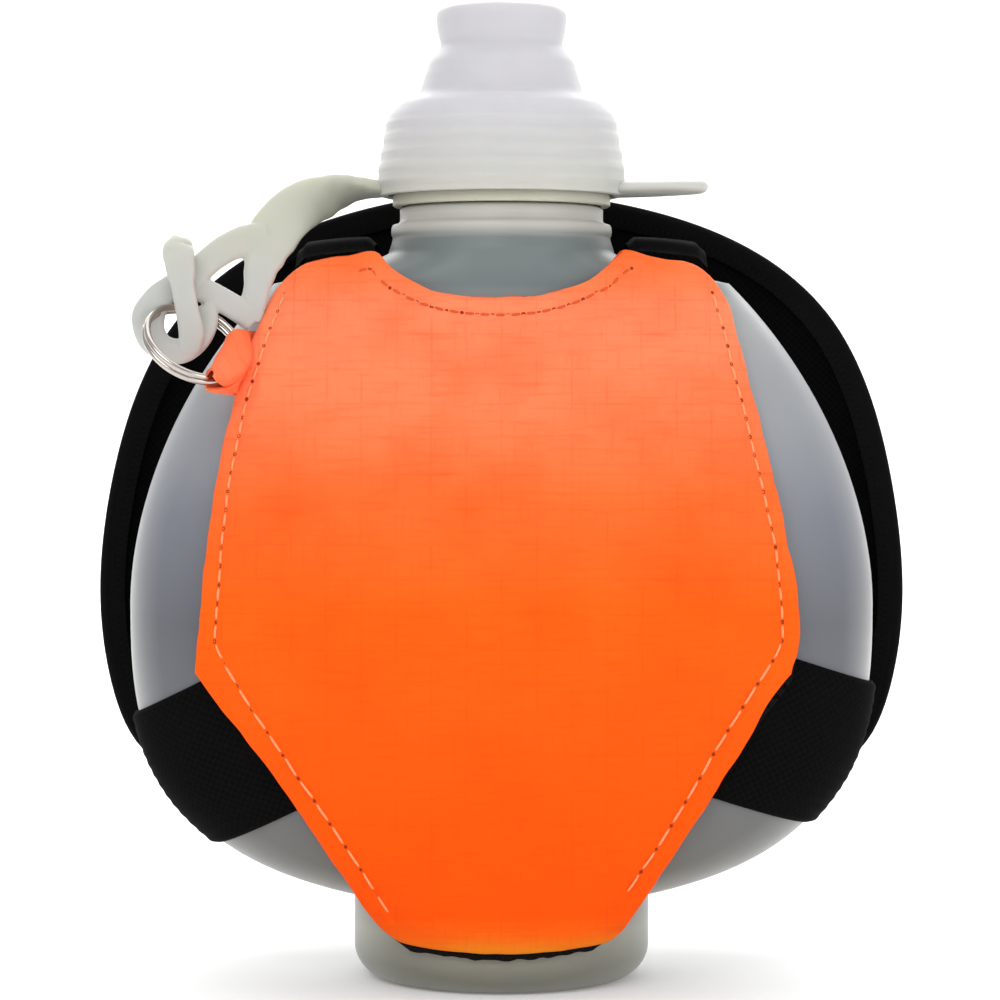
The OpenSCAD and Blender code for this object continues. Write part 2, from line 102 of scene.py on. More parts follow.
# Smooth swells along Z, each as (height, middle, half width).
SHIELD_SHIFTS = ((-1.15, 86, 36), (-0.75, 44, 22), (0.7, 6, 6))
SHIELD_RIGHT_DRAW = (1.4, 45.5, 9)
PANEL_SHIFT = (0.9, 49, 9)
PANEL_RIGHT_DRAW = (1.2, 45, 7)

ELASTIC_W = 23.6
ELASTIC_T = 1.0
ELASTIC_GAP = 0.2
ELASTIC_LEFT = (27.0, 56.6)
ELASTIC_RIGHT = (19.0, 53.0)

BACK_R = 63.3
BACK_CENTRE_Z = 58.7
BACK_Y = 25.0
BACK_CURL = 9.0
BACK_T = 3.0
BACK_FOOT_DROP = 31.9
BACK_BULGE = 0.065

SHOULDER_STRAP_X = (19.5, 31.5)
SHOULDER_STRAP_Y = (-7, 21.4)
SHOULDER_STRAP_Z = 111.7
SHOULDER_STRAP_W = 12
SHOULDER_STRAP_T = 1.5

HAND_STRAP_INNER_Y = 54.0
HAND_STRAP_END_Y = 23.6
HAND_STRAP_HALF_SPAN = 52.0
HAND_STRAP_Z = 62
HAND_STRAP_W = 38.0
HAND_STRAP_T = 2.0

CAMERA_X = -0.00023
CAMERA_Y = -0.506
CAMERA_Z = 0.0868
CAMERA_AIM_Z = 0.0736
CAMERA_LENS = 117.5

# ---- Plain helpers ----


def clamp01(v):
    return min(1.0, max(0.0, v))


def mix(a, b, t):
    return a + (b - a) * t


def ease(start, end, v):
    t = clamp01((v - start) / (end - start))
    return t * t * (3 - 2 * t)


def signed_pow(v, power):
    return math.copysign(abs(v) ** power, v)


def bump(v, centre, half_width):
    """1 at the centre, falling smoothly to 0 at half_width on either side."""
    t = clamp01(1 - abs(v - centre) / half_width)
    return t * t * (3 - 2 * t)


def swell(v, height, centre, half_width):
    return height * bump(v, centre, half_width)


def turn_angles(count):
    """Angles at even steps round a full turn."""
    return [2 * math.pi * i / count for i in range(count)]


def wobble(x, y, size, seed):
    """Smooth noise from -1 to 1 whose features are about size across."""
    return noise.noise(Vector((x / size, y / size, seed * 7.31)))


def spline(points, per_span):
    """Catmull-Rom points through the given ones, per_span of them for each span."""
    points = [Vector(p) for p in points]
    ends = [2 * points[0] - points[1], *points, 2 * points[-1] - points[-2]]
    out = []
    for i in range(len(points) - 1):
        a, b, c, d = ends[i : i + 4]
        for k in range(per_span):
            t = k / per_span
            out.append(0.5 * (2 * b + (c - a) * t + (2 * a - 5 * b + 4 * c - d) * t**2
                              + (3 * b - a - 3 * c + d) * t**3))
    return [*out, points[-1]]


def arc(cx, cy, r, start, end, steps=6):
    """Points along a circle's arc, angles in degrees."""
    angles = [math.radians(mix(start, end, i / steps)) for i in range(steps + 1)]
    return [(cx + r * math.cos(a), cy + r * math.sin(a)) for a in angles]


def rounded(path, steps=5):
    """A polyline of (x, y) or (x, y, cut) whose corners are rounded over the length cut from each side."""
    out = []
    for i, p in enumerate(path):
        here = Vector(p[:2])
        if len(p) < 3:
            out.append(tuple(here))
            continue
        before = here + p[2] * (Vector(path[i - 1][:2]) - here).normalized()
        after = here + p[2] * (Vector(path[i + 1][:2]) - here).normalized()
        for k in range(steps + 1):
            t = k / steps
            out.append(tuple((1 - t) ** 2 * before + 2 * t * (1 - t) * here + t * t * after))
    return out


def dense(path, step):
    """The same polyline with points no further apart than step."""
    out = [path[0]]
    for a, b in zip(path, path[1:]):
        count = max(1, math.ceil((Vector(b) - Vector(a)).length / step))
        out += [tuple(Vector(a).lerp(Vector(b), k / count)) for k in range(1, count + 1)]
    return out


# ---- Meshes ----


def skin(rings, wrap=False):
    """Points and faces over a stack of closed rings; wrap joins the last ring to the first."""
    n = len(rings[0])
    count = len(rings)
    faces = []
    for k in range(count if wrap else count - 1):
        a, b = k * n, (k + 1) % count * n
        faces += [(a + i, a + (i + 1) % n, b + (i + 1) % n, b + i) for i in range(n)]
    if not wrap:
        faces += [tuple(range(n))[::-1], tuple((count - 1) * n + i for i in range(n))]
    return [p for ring in rings for p in ring], faces


def sheet_skin(front, back):
    """Points and faces of a closed sheet from two grids of the same size, front and back."""
    rows, cols = len(front), len(front[0])
    half = rows * cols
    points = [p for row in front for p in row] + [p for row in back for p in row]
    faces = []
    for r in range(rows - 1):
        for c in range(cols - 1):
            a = r * cols + c
            faces.append((a, a + 1, a + cols + 1, a + cols))
            faces.append((half + a, half + a + cols, half + a + cols + 1, half + a + 1))
    for r in range(rows - 1):
        for c, flip in ((0, False), (cols - 1, True)):
            a, b = r * cols + c, (r + 1) * cols + c
            faces.append((a, half + a, half + b, b) if flip else (a, b, half + b, half + a))
    for c in range(cols - 1):
        for r, flip in ((0, True), (rows - 1, False)):
            a, b = r * cols + c, r * cols + c + 1
            faces.append((a, half + a, half + b, b) if flip else (a, b, half + b, half + a))
    return points, faces


def join(*parts):
    """Several (points, faces) pairs as one."""
    points, faces = [], []
    for p, f in parts:
        faces += [tuple(i + len(points) for i in face) for face in f]
        points += p
    return points, faces


def both_faces(cloth):
    """The places on the flat cloth for both faces of a sheet, from the rows of one face."""
    return [p for row in cloth for p in row] * 2


def make(name, shape, material, body="root", replaces=(), cloth=None, sharp=50):
    """A smooth-shaded object from (points, faces) in millimetres, riding on a body. cloth holds, for each
    point, where it lies on the flat cloth, in millimetres, for weaves and ribs."""
    points, faces = shape
    mesh = bpy.data.meshes.new(name)
    mesh.from_pydata([Vector(p) * MM for p in points], [], faces)
    if cloth:
        layer = mesh.attributes.new("cloth", "FLOAT_VECTOR", "POINT")
        layer.data.foreach_set("vector", [c * MM for p in cloth for c in (*p, 0.0)])
    work = bmesh.new()
    work.from_mesh(mesh)
    bmesh.ops.recalc_face_normals(work, faces=work.faces)
    work.to_mesh(mesh)
    work.free()
    mesh.polygons.foreach_set("use_smooth", [True] * len(mesh.polygons))
    mesh.set_sharp_from_angle(angle=math.radians(sharp))
    mesh.materials.append(material)
    piece = bpy.data.objects.new(name, mesh)
    bpy.context.scene.collection.objects.link(piece)
    if body:
        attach(piece, body)
    if replaces:
        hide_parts(*replaces)
    return piece


def lathe(profile, segments=160, ripple=None):
    """A closed (r, z) profile turned about Z. ripple(angle, r, z) may change the radius."""
    rings = []
    for r, z in profile:
        ring = []
        for a in turn_angles(segments):
            radius = ripple(a, r, z) if ripple else r
            ring.append((radius * math.cos(a), radius * math.sin(a), z))
        rings.append(ring)
    return skin(rings, wrap=True)


def band(path, wides, half_wide, half_thin, sides=16, blunt=0.55):
    """A flat band swept along path. wides gives the direction of its width at each point, and half_wide(t)
    and half_thin(t) its half sizes at the share t of the way along."""
    rings, last = [], len(path) - 1
    for k, p in enumerate(path):
        t = k / last
        ahead = (path[min(k + 1, last)] - path[max(k - 1, 0)]).normalized()
        wide = (wides[k] - ahead * wides[k].dot(ahead)).normalized()
        thin = ahead.cross(wide)
        w = half_wide(t)
        h = half_thin(t)
        ring = []
        for a in turn_angles(sides):
            over = wide * w * signed_pow(math.cos(a), blunt)
            ring.append(tuple(p + over + thin * h * signed_pow(math.sin(a), 0.75)))
        rings.append(ring)
    return skin(rings)


def thread_rib(r_in, h_in, r_out, h_out, start_z, turns):
    """A screw thread's rib, running out to nothing at both ends."""
    rings, steps = [], int(48 * turns)
    for k in range(steps + 1):
        a = 2 * math.pi * turns * k / steps
        fade = min(1.0, 0.06 + 6 * min(k, steps - k) / steps)
        z = start_z + THREAD_PITCH * a / (2 * math.pi)
        r = mix(r_in, r_out, fade)
        rings.append([(rr * math.cos(a), rr * math.sin(a), z + h)
                      for rr, h in ((r_in, -h_in), (r_in, h_in), (r, h_out), (r, -h_out))])
    return skin(rings)


# ---- Material nodes ----


def new_material(name, **inputs):
    """A Principled material; inputs are its socket names with underscores for spaces."""
    material = bpy.data.materials.new(name)
    material.use_nodes = True
    shader = material.node_tree.nodes["Principled BSDF"]
    for key, value in inputs.items():
        shader.inputs[key.replace("_", " ")].default_value = value
    return material


class Tree:
    """A short way to write a material's nodes. Sockets go in and a socket comes out."""

    def __init__(self, material):
        self.tree = material.node_tree
        self.shader = self.tree.nodes["Principled BSDF"]

    def add(self, kind, output=0, inputs=(), **settings):
        n = self.tree.nodes.new("ShaderNode" + kind)
        for key, value in settings.items():
            setattr(n, key, value)
        for key, value in dict(inputs).items():
            if isinstance(value, bpy.types.NodeSocket):
                self.tree.links.new(value, n.inputs[key])
            else:
                n.inputs[key].default_value = value
        return n.outputs[output]

    def math(self, operation, a, b=0.0):
        return self.add("Math", inputs={0: a, 1: b}, operation=operation)

    def place(self):
        """The place on the object, in metres."""
        return self.add("TexCoord", "Object")

    def cloth(self):
        """The place on the flat cloth, in metres."""
        return self.add("Attribute", "Vector", attribute_name="cloth")

    def parts(self, vector):
        n = self.tree.nodes.new("ShaderNodeSeparateXYZ")
        self.tree.links.new(vector, n.inputs[0])
        return n.outputs

    def noise(self, vector, size, detail=2.0, stretch=None):
        """Noise from 0 to 1 with features about size across, in metres."""
        if stretch:
            vector = self.add("Mapping", inputs={"Vector": vector, "Scale": stretch})
        return self.add("TexNoise", inputs={"Vector": vector, "Scale": 1 / size, "Detail": detail})

    def remap(self, value, low, high, to_low, to_high):
        return self.add("MapRange", inputs={"Value": value, "From Min": low, "From Max": high,
                                            "To Min": to_low, "To Max": to_high})

    def blend(self, share, a, b):
        """Colour a where share is 0 and b where it is 1."""
        return self.add("Mix", output=2, data_type="RGBA", inputs={0: share, 6: a, 7: b})

    def ramp(self, value, stops):
        """A colour for each value: stops are (place, colour)."""
        n = self.tree.nodes.new("ShaderNodeValToRGB")
        self.tree.links.new(value, n.inputs[0])
        while len(n.color_ramp.elements) < len(stops):
            n.color_ramp.elements.new(0.5)
        for element, (place, colour) in zip(n.color_ramp.elements, stops):
            element.position = place
            element.color = colour
        return n.outputs[0]

    def relief(self, height, strength, depth, normal=None):
        """A bump of the given depth in metres."""
        inputs = {"Height": height, "Strength": strength, "Distance": depth}
        if normal is not None:
            inputs["Normal"] = normal
        return self.add("Bump", inputs=inputs)

    def set(self, **inputs):
        for key, value in inputs.items():
            socket = self.shader.inputs[key.replace("_", " ")]
            if isinstance(value, bpy.types.NodeSocket):
                self.tree.links.new(value, socket)
            else:
                socket.default_value = value


def grey(v):
    return (v, v, v, 1.0)


# ---- Materials ----


def frosted_plastic():
    """Blown frosted plastic: milky at its edges and clearer across the middle, with faint flow lines, and
    painted light and shade in bands by height.
    """
    material = new_material("frosted_bottle", Roughness=0.42, IOR=1.5)
    t = Tree(material)
    place = t.place()
    height = t.remap(t.parts(place)[2], 0.0, 0.12, 0, 1)
    cloudy = t.noise(place, 0.022, 3)
    # Painted light and shade in bands by height: bright bands on the foot, the shoulder and the neck's top,
    # dark bands across the belly and the lower neck.
    painted_bands = t.ramp(height, [
        (0.00, (0.180, 0.187, 0.140, 1)),
        (0.03, (0.220, 0.225, 0.180, 1)),
        (0.07, (0.400, 0.405, 0.330, 1)),
        (0.11, (0.250, 0.255, 0.222, 1)),
        (0.16, (0.175, 0.178, 0.160, 1)),
        (0.30, (0.165, 0.172, 0.190, 1)),
        (0.46, (0.142, 0.150, 0.172, 1)),
        (0.60, (0.225, 0.240, 0.278, 1)),
        (0.72, (0.370, 0.388, 0.415, 1)),
        (0.83, (0.430, 0.440, 0.450, 1)),
        (0.865, (0.380, 0.395, 0.400, 1)),
        (0.885, (0.190, 0.225, 0.225, 1)),
        (0.945, (0.190, 0.225, 0.222, 1)),
        (0.962, (0.620, 0.600, 0.550, 1)),
        (1.00, (0.600, 0.590, 0.530, 1))])
    edge = t.add("LayerWeight", "Facing", {"Blend": 0.22})
    # The pale rim is partly the milky wall seen edge-on and partly a painted highlight, which this ramp makes
    # strongest on the lower body and at the neck's top.
    painted_rim_light = t.ramp(height, [(0.2, grey(0.6)), (0.4, grey(1.0)), (0.56, grey(0.8)), (0.72, grey(0.15)),
                          (0.94, grey(0.3)), (1.0, grey(1.0))])
    rim = t.blend(t.math("MULTIPLY", t.remap(edge, 0.15, 0.85, 0, 1), painted_rim_light), painted_bands, (0.84, 0.83, 0.80, 1))
    t.set(Base_Color=t.blend(t.remap(cloudy, 0.3, 0.7, 0, 0.14), rim, (0.10, 0.11, 0.13, 1)))
    fine = t.noise(place, 0.0005, 2)
    flow = t.noise(place, 0.006, 2, stretch=(1, 1, 0.25))
    t.set(Roughness=t.remap(cloudy, 0.3, 0.7, 0.38, 0.5))
    t.set(Normal=t.relief(flow, 0.2, 0.0004, t.relief(fine, 0.25, 0.00005)))
    t.set(Transmission_Weight=0.2, Specular_IOR_Level=0.4)
    return material


def silicone(name, low_colour, high_colour, low_z, high_z):
    """Milky silicone that turns from one tint at low_z to another at high_z, and is paler at its edges."""
    material = new_material(name, Roughness=0.48, IOR=1.42)
    t = Tree(material)
    place = t.place()
    height = t.remap(t.parts(place)[2], low_z * MM, high_z * MM, 0, 1)
    colour = t.blend(height, low_colour, high_colour)
    edge = t.add("LayerWeight", "Facing", {"Blend": 0.3})
    colour = t.blend(t.remap(edge, 0.35, 1.0, 0, 0.55), colour, (0.78, 0.78, 0.75, 1))
    cloudy = t.noise(place, 0.004, 2)
    t.set(Base_Color=t.blend(t.remap(cloudy, 0.3, 0.7, 0, 0.14), colour, (0.44, 0.45, 0.46, 1)))
    t.set(Roughness=t.remap(cloudy, 0.3, 0.7, 0.42, 0.56))
    t.set(Normal=t.relief(t.noise(place, 0.0007, 2), 0.2, 0.00006))
    t.set(Subsurface_Weight=0.45, Subsurface_Radius=(1.0, 0.9, 0.8), Subsurface_Scale=0.0022)
    t.set(Specular_IOR_Level=0.35)
    return material


def hard_plastic(name, colour, roughness):
    """Moulded plastic with a faint grain."""
    material = new_material(name, Roughness=roughness)
    t = Tree(material)
    place = t.place()
    cloudy = t.noise(place, 0.006, 2)
    pale = tuple(min(1.0, c * 1.1) for c in colour[:3]) + (1,)
    t.set(Base_Color=t.blend(cloudy, colour, pale))
    t.set(Roughness=t.remap(cloudy, 0.3, 0.7, roughness - 0.06, roughness + 0.08))
    t.set(Normal=t.relief(t.noise(place, 0.0004, 2), 0.2, 0.00004))
    t.set(Subsurface_Weight=0.15, Subsurface_Radius=(1, 0.9, 0.7), Subsurface_Scale=0.001)
    return material


def nickel():
    """Bright nickel plate with fine scratches."""
    material = new_material("nickel_wire", Base_Color=(0.52, 0.48, 0.44, 1), Metallic=1.0, Roughness=0.16)
    t = Tree(material)
    place = t.place()
    scratches = t.noise(place, 0.0006, 3, stretch=(1, 5, 5))
    t.set(Roughness=t.remap(scratches, 0.3, 0.7, 0.08, 0.26))
    t.set(Normal=t.relief(scratches, 0.15, 0.00002))
    return material


def weave(t, along, across, pitch):
    """A plain weave's height from 0 to 1, for threads of the given pitch in metres."""
    a = t.math("MULTIPLY", along, math.pi / pitch)
    b = t.math("MULTIPLY", across, math.pi / pitch)
    over = t.math("MULTIPLY", t.math("SINE", a), t.math("SINE", b))
    return t.remap(over, -1, 1, 0, 1)


def grid_line(t, value, pitch, share):
    """1 on thin lines every pitch metres, share of the pitch wide, else 0."""
    phase = t.math("PINGPONG", value, pitch / 2)
    return t.remap(phase, 0, pitch * share, 1, 0)


def ripstop():
    """Orange ripstop: a fine weave with sparse thicker threads, deep orange below and salmon at the top,
    where the salmon is a painted highlight; painted shade darkens the top edge.
    """
    material = new_material("orange_ripstop", Roughness=0.62)
    t = Tree(material)
    cloth = t.cloth()
    across, along, _ = t.parts(cloth)
    # Painted light and shade by height: a painted highlight turns the upper cloth salmon, and painted shade
    # darkens the top edge where it folds back. The cloth also darkens at the hem.
    tone = t.ramp(t.remap(along, 0.0, 0.112, 0, 1), [
        (0.055, (0.62, 0.260, 0.015, 1)),
        (0.085, (0.84, 0.125, 0.006, 1)),
        (0.11, (0.90, 0.090, 0.002, 1)),
        (0.24, (0.92, 0.092, 0.002, 1)),
        (0.52, (0.93, 0.118, 0.006, 1)),
        (0.66, (0.93, 0.145, 0.028, 1)),
        (0.78, (0.93, 0.205, 0.080, 1)),
        (0.92, (0.94, 0.232, 0.108, 1)),
        (1.0, (0.92, 0.165, 0.035, 1))])
    patches = t.noise(cloth, 0.02, 3)
    tone = t.blend(t.remap(patches, 0.42, 0.7, 0, 0.42), tone, (0.90, 0.072, 0.002, 1))
    fine = weave(t, along, across, 0.00042)
    level = t.noise(cloth, 0.0007, 3, stretch=(0.1, 1, 1))
    upright = t.noise(cloth, 0.0008, 3, stretch=(1, 0.14, 1))
    slubs = t.math("MAXIMUM", t.remap(level, 0.5, 0.74, 0, 0.24), t.remap(upright, 0.54, 0.76, 0, 0.18))
    tone = t.blend(slubs, tone, (0.74, 0.055, 0.004, 1))
    lines = t.math("MAXIMUM", grid_line(t, along, 0.0052, 0.05), grid_line(t, across, 0.0052, 0.05))
    broken = t.math("MULTIPLY", lines, t.remap(t.noise(cloth, 0.008, 2), 0.42, 0.62, 0, 0.24))
    t.set(Base_Color=t.blend(broken, tone, (0.70, 0.06, 0.006, 1)))
    t.set(Roughness=t.remap(fine, 0, 1, 0.7, 0.58))
    bumps = t.relief(fine, 0.3, 0.00005, t.relief(lines, 0.25, 0.00006, t.relief(patches, 0.3, 0.0012)))
    t.set(Normal=bumps)
    t.set(Sheen_Weight=0.015, Sheen_Roughness=0.4, Sheen_Tint=(1, 0.6, 0.4, 1), Specular_IOR_Level=0.06)
    return material


def black_cloth(name, base, pitch, roughness, sheen):
    """Black knitted or woven cloth with lint and a soft sheen."""
    material = new_material(name, Roughness=roughness, Specular_IOR_Level=0.03)
    t = Tree(material)
    cloth = t.cloth()
    across, along, _ = t.parts(cloth)
    fine = weave(t, along, across, pitch)
    patches = t.noise(cloth, 0.014, 3)
    tone = t.blend(fine, grey(base * 0.6), grey(base * 1.5))
    tone = t.blend(t.remap(patches, 0.4, 0.75, 0, 0.5), tone, grey(base * 1.9))
    t.set(Base_Color=tone)
    t.set(Roughness=t.remap(patches, 0.3, 0.7, roughness - 0.08, roughness + 0.08))
    t.set(Normal=t.relief(fine, 0.25, pitch * 0.2, t.relief(patches, 0.3, 0.0008)))
    t.set(Sheen_Weight=sheen, Sheen_Roughness=0.4, Sheen_Tint=grey(0.5))
    return material


def thread_material(name, colour):
    """Twisted sewing thread."""
    material = new_material(name, Roughness=0.6, Specular_IOR_Level=0.2)
    t = Tree(material)
    place = t.place()
    twist = t.noise(place, 0.0004, 2)
    dark = tuple(c * 0.7 for c in colour[:3]) + (1,)
    t.set(Base_Color=t.blend(twist, dark, colour))
    t.set(Normal=t.relief(twist, 0.4, 0.00008))
    return material


FROSTED = frosted_plastic()
SILICONE = silicone("clear_silicone", (0.52, 0.525, 0.475, 1), (0.57, 0.56, 0.59, 1), 120, 134)
TETHER_SILICONE = silicone("tether_silicone", (0.49, 0.50, 0.475, 1), (0.52, 0.53, 0.44, 1), 106, 116)
CAP_PLASTIC = hard_plastic("cap_plastic", (0.50, 0.49, 0.40, 1), 0.4)
NOZZLE_PLASTIC = hard_plastic("nozzle_plastic", (0.70, 0.70, 0.66, 1), 0.42)
GASKET_RUBBER = hard_plastic("gasket_rubber", (0.55, 0.55, 0.51, 1), 0.55)
NICKEL = nickel()
RIPSTOP = ripstop()
LINING = black_cloth("black_lining", 0.006, 0.0005, 0.8, 0.02)
ELASTIC = black_cloth("ribbed_elastic", 0.0028, 0.0006, 0.85, 0.01)
NEOPRENE = black_cloth("black_neoprene", 0.003, 0.00055, 0.8, 0.02)
BINDING = black_cloth("binding_tape", 0.0034, 0.0005, 0.75, 0.03)
STRAP_CLOTH = black_cloth("strap_cloth", 0.0022, 0.00055, 1.0, 0.0)
THREAD_PALE = thread_material("thread_pale", (0.95, 0.36, 0.15, 1))
THREAD_DEEP = thread_material("thread_deep", (0.74, 0.11, 0.022, 1))
THREAD_BLACK = thread_material("thread_black", (0.02, 0.02, 0.02, 1))
# Needle holes are coloured dark brown: painted shade inside the holes.
NEEDLE_HOLE_SHADE = thread_material("needle_hole_shade", (0.34, 0.03, 0.006, 1))

# ---- Shape of the bottle's body ----


def body_half_width(z, g=0.0):
    if z > DISC_MID_Z:
        rise = min(1.0, (z - DISC_MID_Z) / (DISC_RISE + g))
        return (DISC_HALF_WIDTH + g) * (1 - rise**DISC_RISE_POWER) ** (1 / DISC_RISE_POWER)
    drop = min(1.0, (DISC_MID_Z - z) / (DISC_DROP + g))
    return (DISC_HALF_WIDTH + g) * (1 - drop**DISC_DROP_POWER) ** (1 / DISC_DROP_POWER)


def body_half_depth(z, g=0.0):
    return DISC_HALF_DEPTH + g - (DISC_HALF_DEPTH - NECK_R) * ease(72, NECK_BASE_Z, z)


def plan_power_at(half_width):
    return mix(2.0, 2.5, clamp01((half_width - 20) / 30))


def face_depth(x, z, g=0.0):
    """Depth of the body's front or back face at x and z, grown by g."""
    w = max(1.0, body_half_width(z, g))
    n = plan_power_at(w)
    return body_half_depth(z, g) * (1 - min(1.0, abs(x) / w) ** n) ** (1 / n)


def in_body(p, g):
    w = body_half_width(p.z, g)
    if w <= 1:
        return False
    n = plan_power_at(w)
    return (abs(p.x) / w) ** n + (abs(p.y) / body_half_depth(p.z, g)) ** n < 1


def plan_ring(w, d, z):
    n = plan_power_at(w)
    return [(w * signed_pow(math.cos(a), 2 / n), d * signed_pow(math.sin(a), 2 / n), z)
            for a in turn_angles(PLAN_POINTS)]


def round_rings(profile):
    """A circle of points for each (r, z) of a profile."""
    return [[(r * math.cos(a), r * math.sin(a), z) for a in turn_angles(PLAN_POINTS)] for r, z in profile]


def disc_rings(g, foot_radius, steps):
    """Rings over the body, from where it leaves the foot to where it meets the neck."""
    w_ratio = min(0.999, foot_radius / (DISC_HALF_WIDTH + g))
    start = math.asin((1 - w_ratio**DISC_DROP_POWER) ** 0.5)
    rings = []
    for k in range(steps):
        a = start * (1 - k / steps)
        z = DISC_MID_Z - (DISC_DROP + g) * math.sin(a) ** (2 / DISC_DROP_POWER)
        depth = mix(foot_radius, body_half_depth(z, g), ease(0, 0.35, k / steps))
        rings.append(plan_ring(body_half_width(z, g), depth, z))
    for k in range(steps):
        z = DISC_MID_Z + (SHOULDER_Z + g - DISC_MID_Z) * math.sin(math.pi / 2 * k / steps)
        rings.append(plan_ring(body_half_width(z, g), body_half_depth(z, g), z))
    shoulder_w = body_half_width(SHOULDER_Z) + g
    shoulder_d = body_half_depth(SHOULDER_Z, g)
    neck_w = NECK_R + 0.45 + g
    for k in range(13):
        t = k / 12
        rings.append(plan_ring(mix(neck_w, shoulder_w, (1 - t) ** 1.3), mix(shoulder_d, neck_w, t),
                               mix(SHOULDER_Z, NECK_BASE_Z + 0.3, t) + g))
    return rings


def foot_profile_outside():
    """The foot's outside from the middle of its underside, over its groove, to where the body leaves it."""
    groove = [(FOOT_GROOVE_R + r, z) for r, z in ((-2.9, 0), (-2.3, 0.15), (-1.4, 0.9), (0, 1.0), (1.4, 0.9),
                                                  (2.3, 0.15), (2.9, 0))]
    edge = arc(FOOT_R - FOOT_FILLET, FOOT_FILLET, FOOT_FILLET, -90, 0, 12)
    return [(0.4, 0), (4, 0), (8, 0), *groove, *edge, (FOOT_R, 8.0), (FOOT_R, 11.5), (FOOT_R, 13.0)]


def neck_profile_outside():
    top = 125.6
    return [(17.35, 112.2), (17.0, 113.2), (16.82, 113.9), (16.85, 114.2), (17.0, 114.45), (17.06, 115.0),
            (17.0, 115.7), (16.8, 116.05), (16.0, 116.3), (15.7, 116.6), (15.68, 117.5), (15.7, 118.4),
            (15.2, 118.75), (14.2, 119.1), (14.2, 122), (14.2, top - 0.4), (13.9, top - 0.05), (13.5, top)]


def neck_profile_inside():
    return [(12.9, 125.55), (12.6, 125.2), (12.6, 119.6), (13.6, 118.4), (14.1, 117.8), (14.1, 116.8),
            (15.3, 114.9), (15.4, 114.3), (15.4, 112.4)]


def build_bottle():
    outside = round_rings(foot_profile_outside()) + disc_rings(0, FOOT_R, 34)
    outside += round_rings(neck_profile_outside())
    inner_r = FOOT_R - WALL
    inside = round_rings(neck_profile_inside()) + disc_rings(-WALL, inner_r, 20)[::-1]
    fillet = FOOT_FILLET - WALL
    corner = arc(inner_r - fillet, FLOOR_Z + fillet, fillet, 0, -90, 8)
    inside += round_rings([(inner_r, 10.0), *corner, (9, FLOOR_Z), (0.4, FLOOR_Z)])
    finish = thread_rib(13.9, 0.75, 15.15, 0.35, 120.2, THREAD_TURNS)
    make("bottle_shell", join(skin(outside + inside), finish), FROSTED, replaces=["bottle"],
         sharp=60)


# ---- Cap, gasket, nozzle and dust cover ----


def grip_ribs(angle, r, z):
    """The cap's side has 48 fine grip ribs."""
    on_side = ease(121.2, 121.8, z) * (1 - ease(127.2, 127.8, z)) * (1 if 15.9 < r < 16.1 else 0)
    return r + 0.4 * on_side * clamp01(0.5 + 1.6 * math.cos(48 * angle))


def build_cap():
    shell = [(15.45, 118.9), (16.6, 118.9), (16.8, 119.1), (16.8, 120.5), (16.6, 120.75), (16.0, 121.2),
             (16.0, 121.8), (16.0, 127.2), (16.0, 127.9), (15.8, 128.4), (15.2, 128.7), (5.4, 128.7),
             (5.0, 129.0), (5.0, 134.8), (5.6, 134.8), (5.6, 135.1), (5.0, 136.0), (3.6, 136.0), (3.6, 127.1),
             (15.45, 127.1)]
    plug = [(0.2, 129.5), (2.1, 129.5), (2.1, 137.9), (1.9, 138.6), (1.5, 138.9), (0.2, 138.9)]
    thread = thread_rib(15.75, 0.6, 14.45, 0.3, 121.7, THREAD_TURNS)
    parts = [lathe(shell, 384, grip_ribs), lathe(plug, 48), thread]
    for a in turn_angles(3):
        along = Vector((math.cos(a), math.sin(a), 0))
        side = Vector((-math.sin(a), math.cos(a), 0))
        rings = [[tuple(along * r + side * s + Vector((0, 0, z))) for s, z in
                  ((-0.5, 129.5), (0.5, 129.5), (0.5, 133), (-0.5, 133))] for r in (1.8, 4.2)]
        parts.append(skin(rings))
    make("cap_shell", join(*parts), CAP_PLASTIC, "cap", ["screw_cap"], sharp=40)
    gasket = [(10.5, 125.75), (10.6, 125.65), (15.1, 125.65), (15.2, 125.75), (15.2, 126.95), (15.1, 127.05),
              (10.6, 127.05), (10.5, 126.95)]
    make("gasket_ring", lathe(gasket, 120), GASKET_RUBBER, "gasket", ["cap_gasket"])
    nozzle = [(5.25, 129.0), (7.3, 129.0), (7.4, 129.15), (7.4, 130.1), (7.2, 130.5), (6.8, 131.2),
              (6.6, 132.6), (6.5, 134.8), (6.75, 135.6), (7.05, 136.1), (7.1, 136.6), (7.1, 137.8),
              *arc(5.6, 137.8, 1.5, 15, 90, 6), (2.5, 139.3), (2.3, 139.1), (2.3, 137.9), (5.85, 136.6),
              (5.85, 129.8), (5.25, 129.8)]
    make("nozzle_body", lathe(nozzle, 120), NOZZLE_PLASTIC, "nozzle", ["push_pull_nozzle"])


COVER_OUTSIDE = [(18.7, 120.6), (19.2, 123.4, 1), (17.6, 132.7, 1.3), (16.2, 134.7, 1), (12.8, 135.8, 1.4),
                 (11.15, 141.4, 0.8), (9.3, 143.6, 0.8), (10.05, 146.6, 1.3), (10.05, 149.5, 1.4),
                 (0.05, 149.5)]
COVER_WALL = 1.2


def cover_bands(angle, r, z):
    """Soft moulded bands round the cover's skirt, and fainter ones above."""
    if r < 8:
        return r
    skirt = ease(120.8, 122, z) * (1 - ease(131.5, 133, z))
    fine = 0.012 * math.sin(2 * math.pi * z / 0.9)
    broad = 0.085 * math.sin(2 * math.pi * z / 2.3)
    return r + (fine + broad) * skirt + 0.014 * math.sin(2 * math.pi * z / 2.1) * (1 - skirt)


def offset_profile(path, distance):
    """The polyline moved sideways, to its left."""
    out = []
    for i in range(len(path)):
        run = (Vector(path[min(i + 1, len(path) - 1)]) - Vector(path[max(i - 1, 0)])).normalized()
        out.append((path[i][0] - run.y * distance, path[i][1] + run.x * distance))
    return out


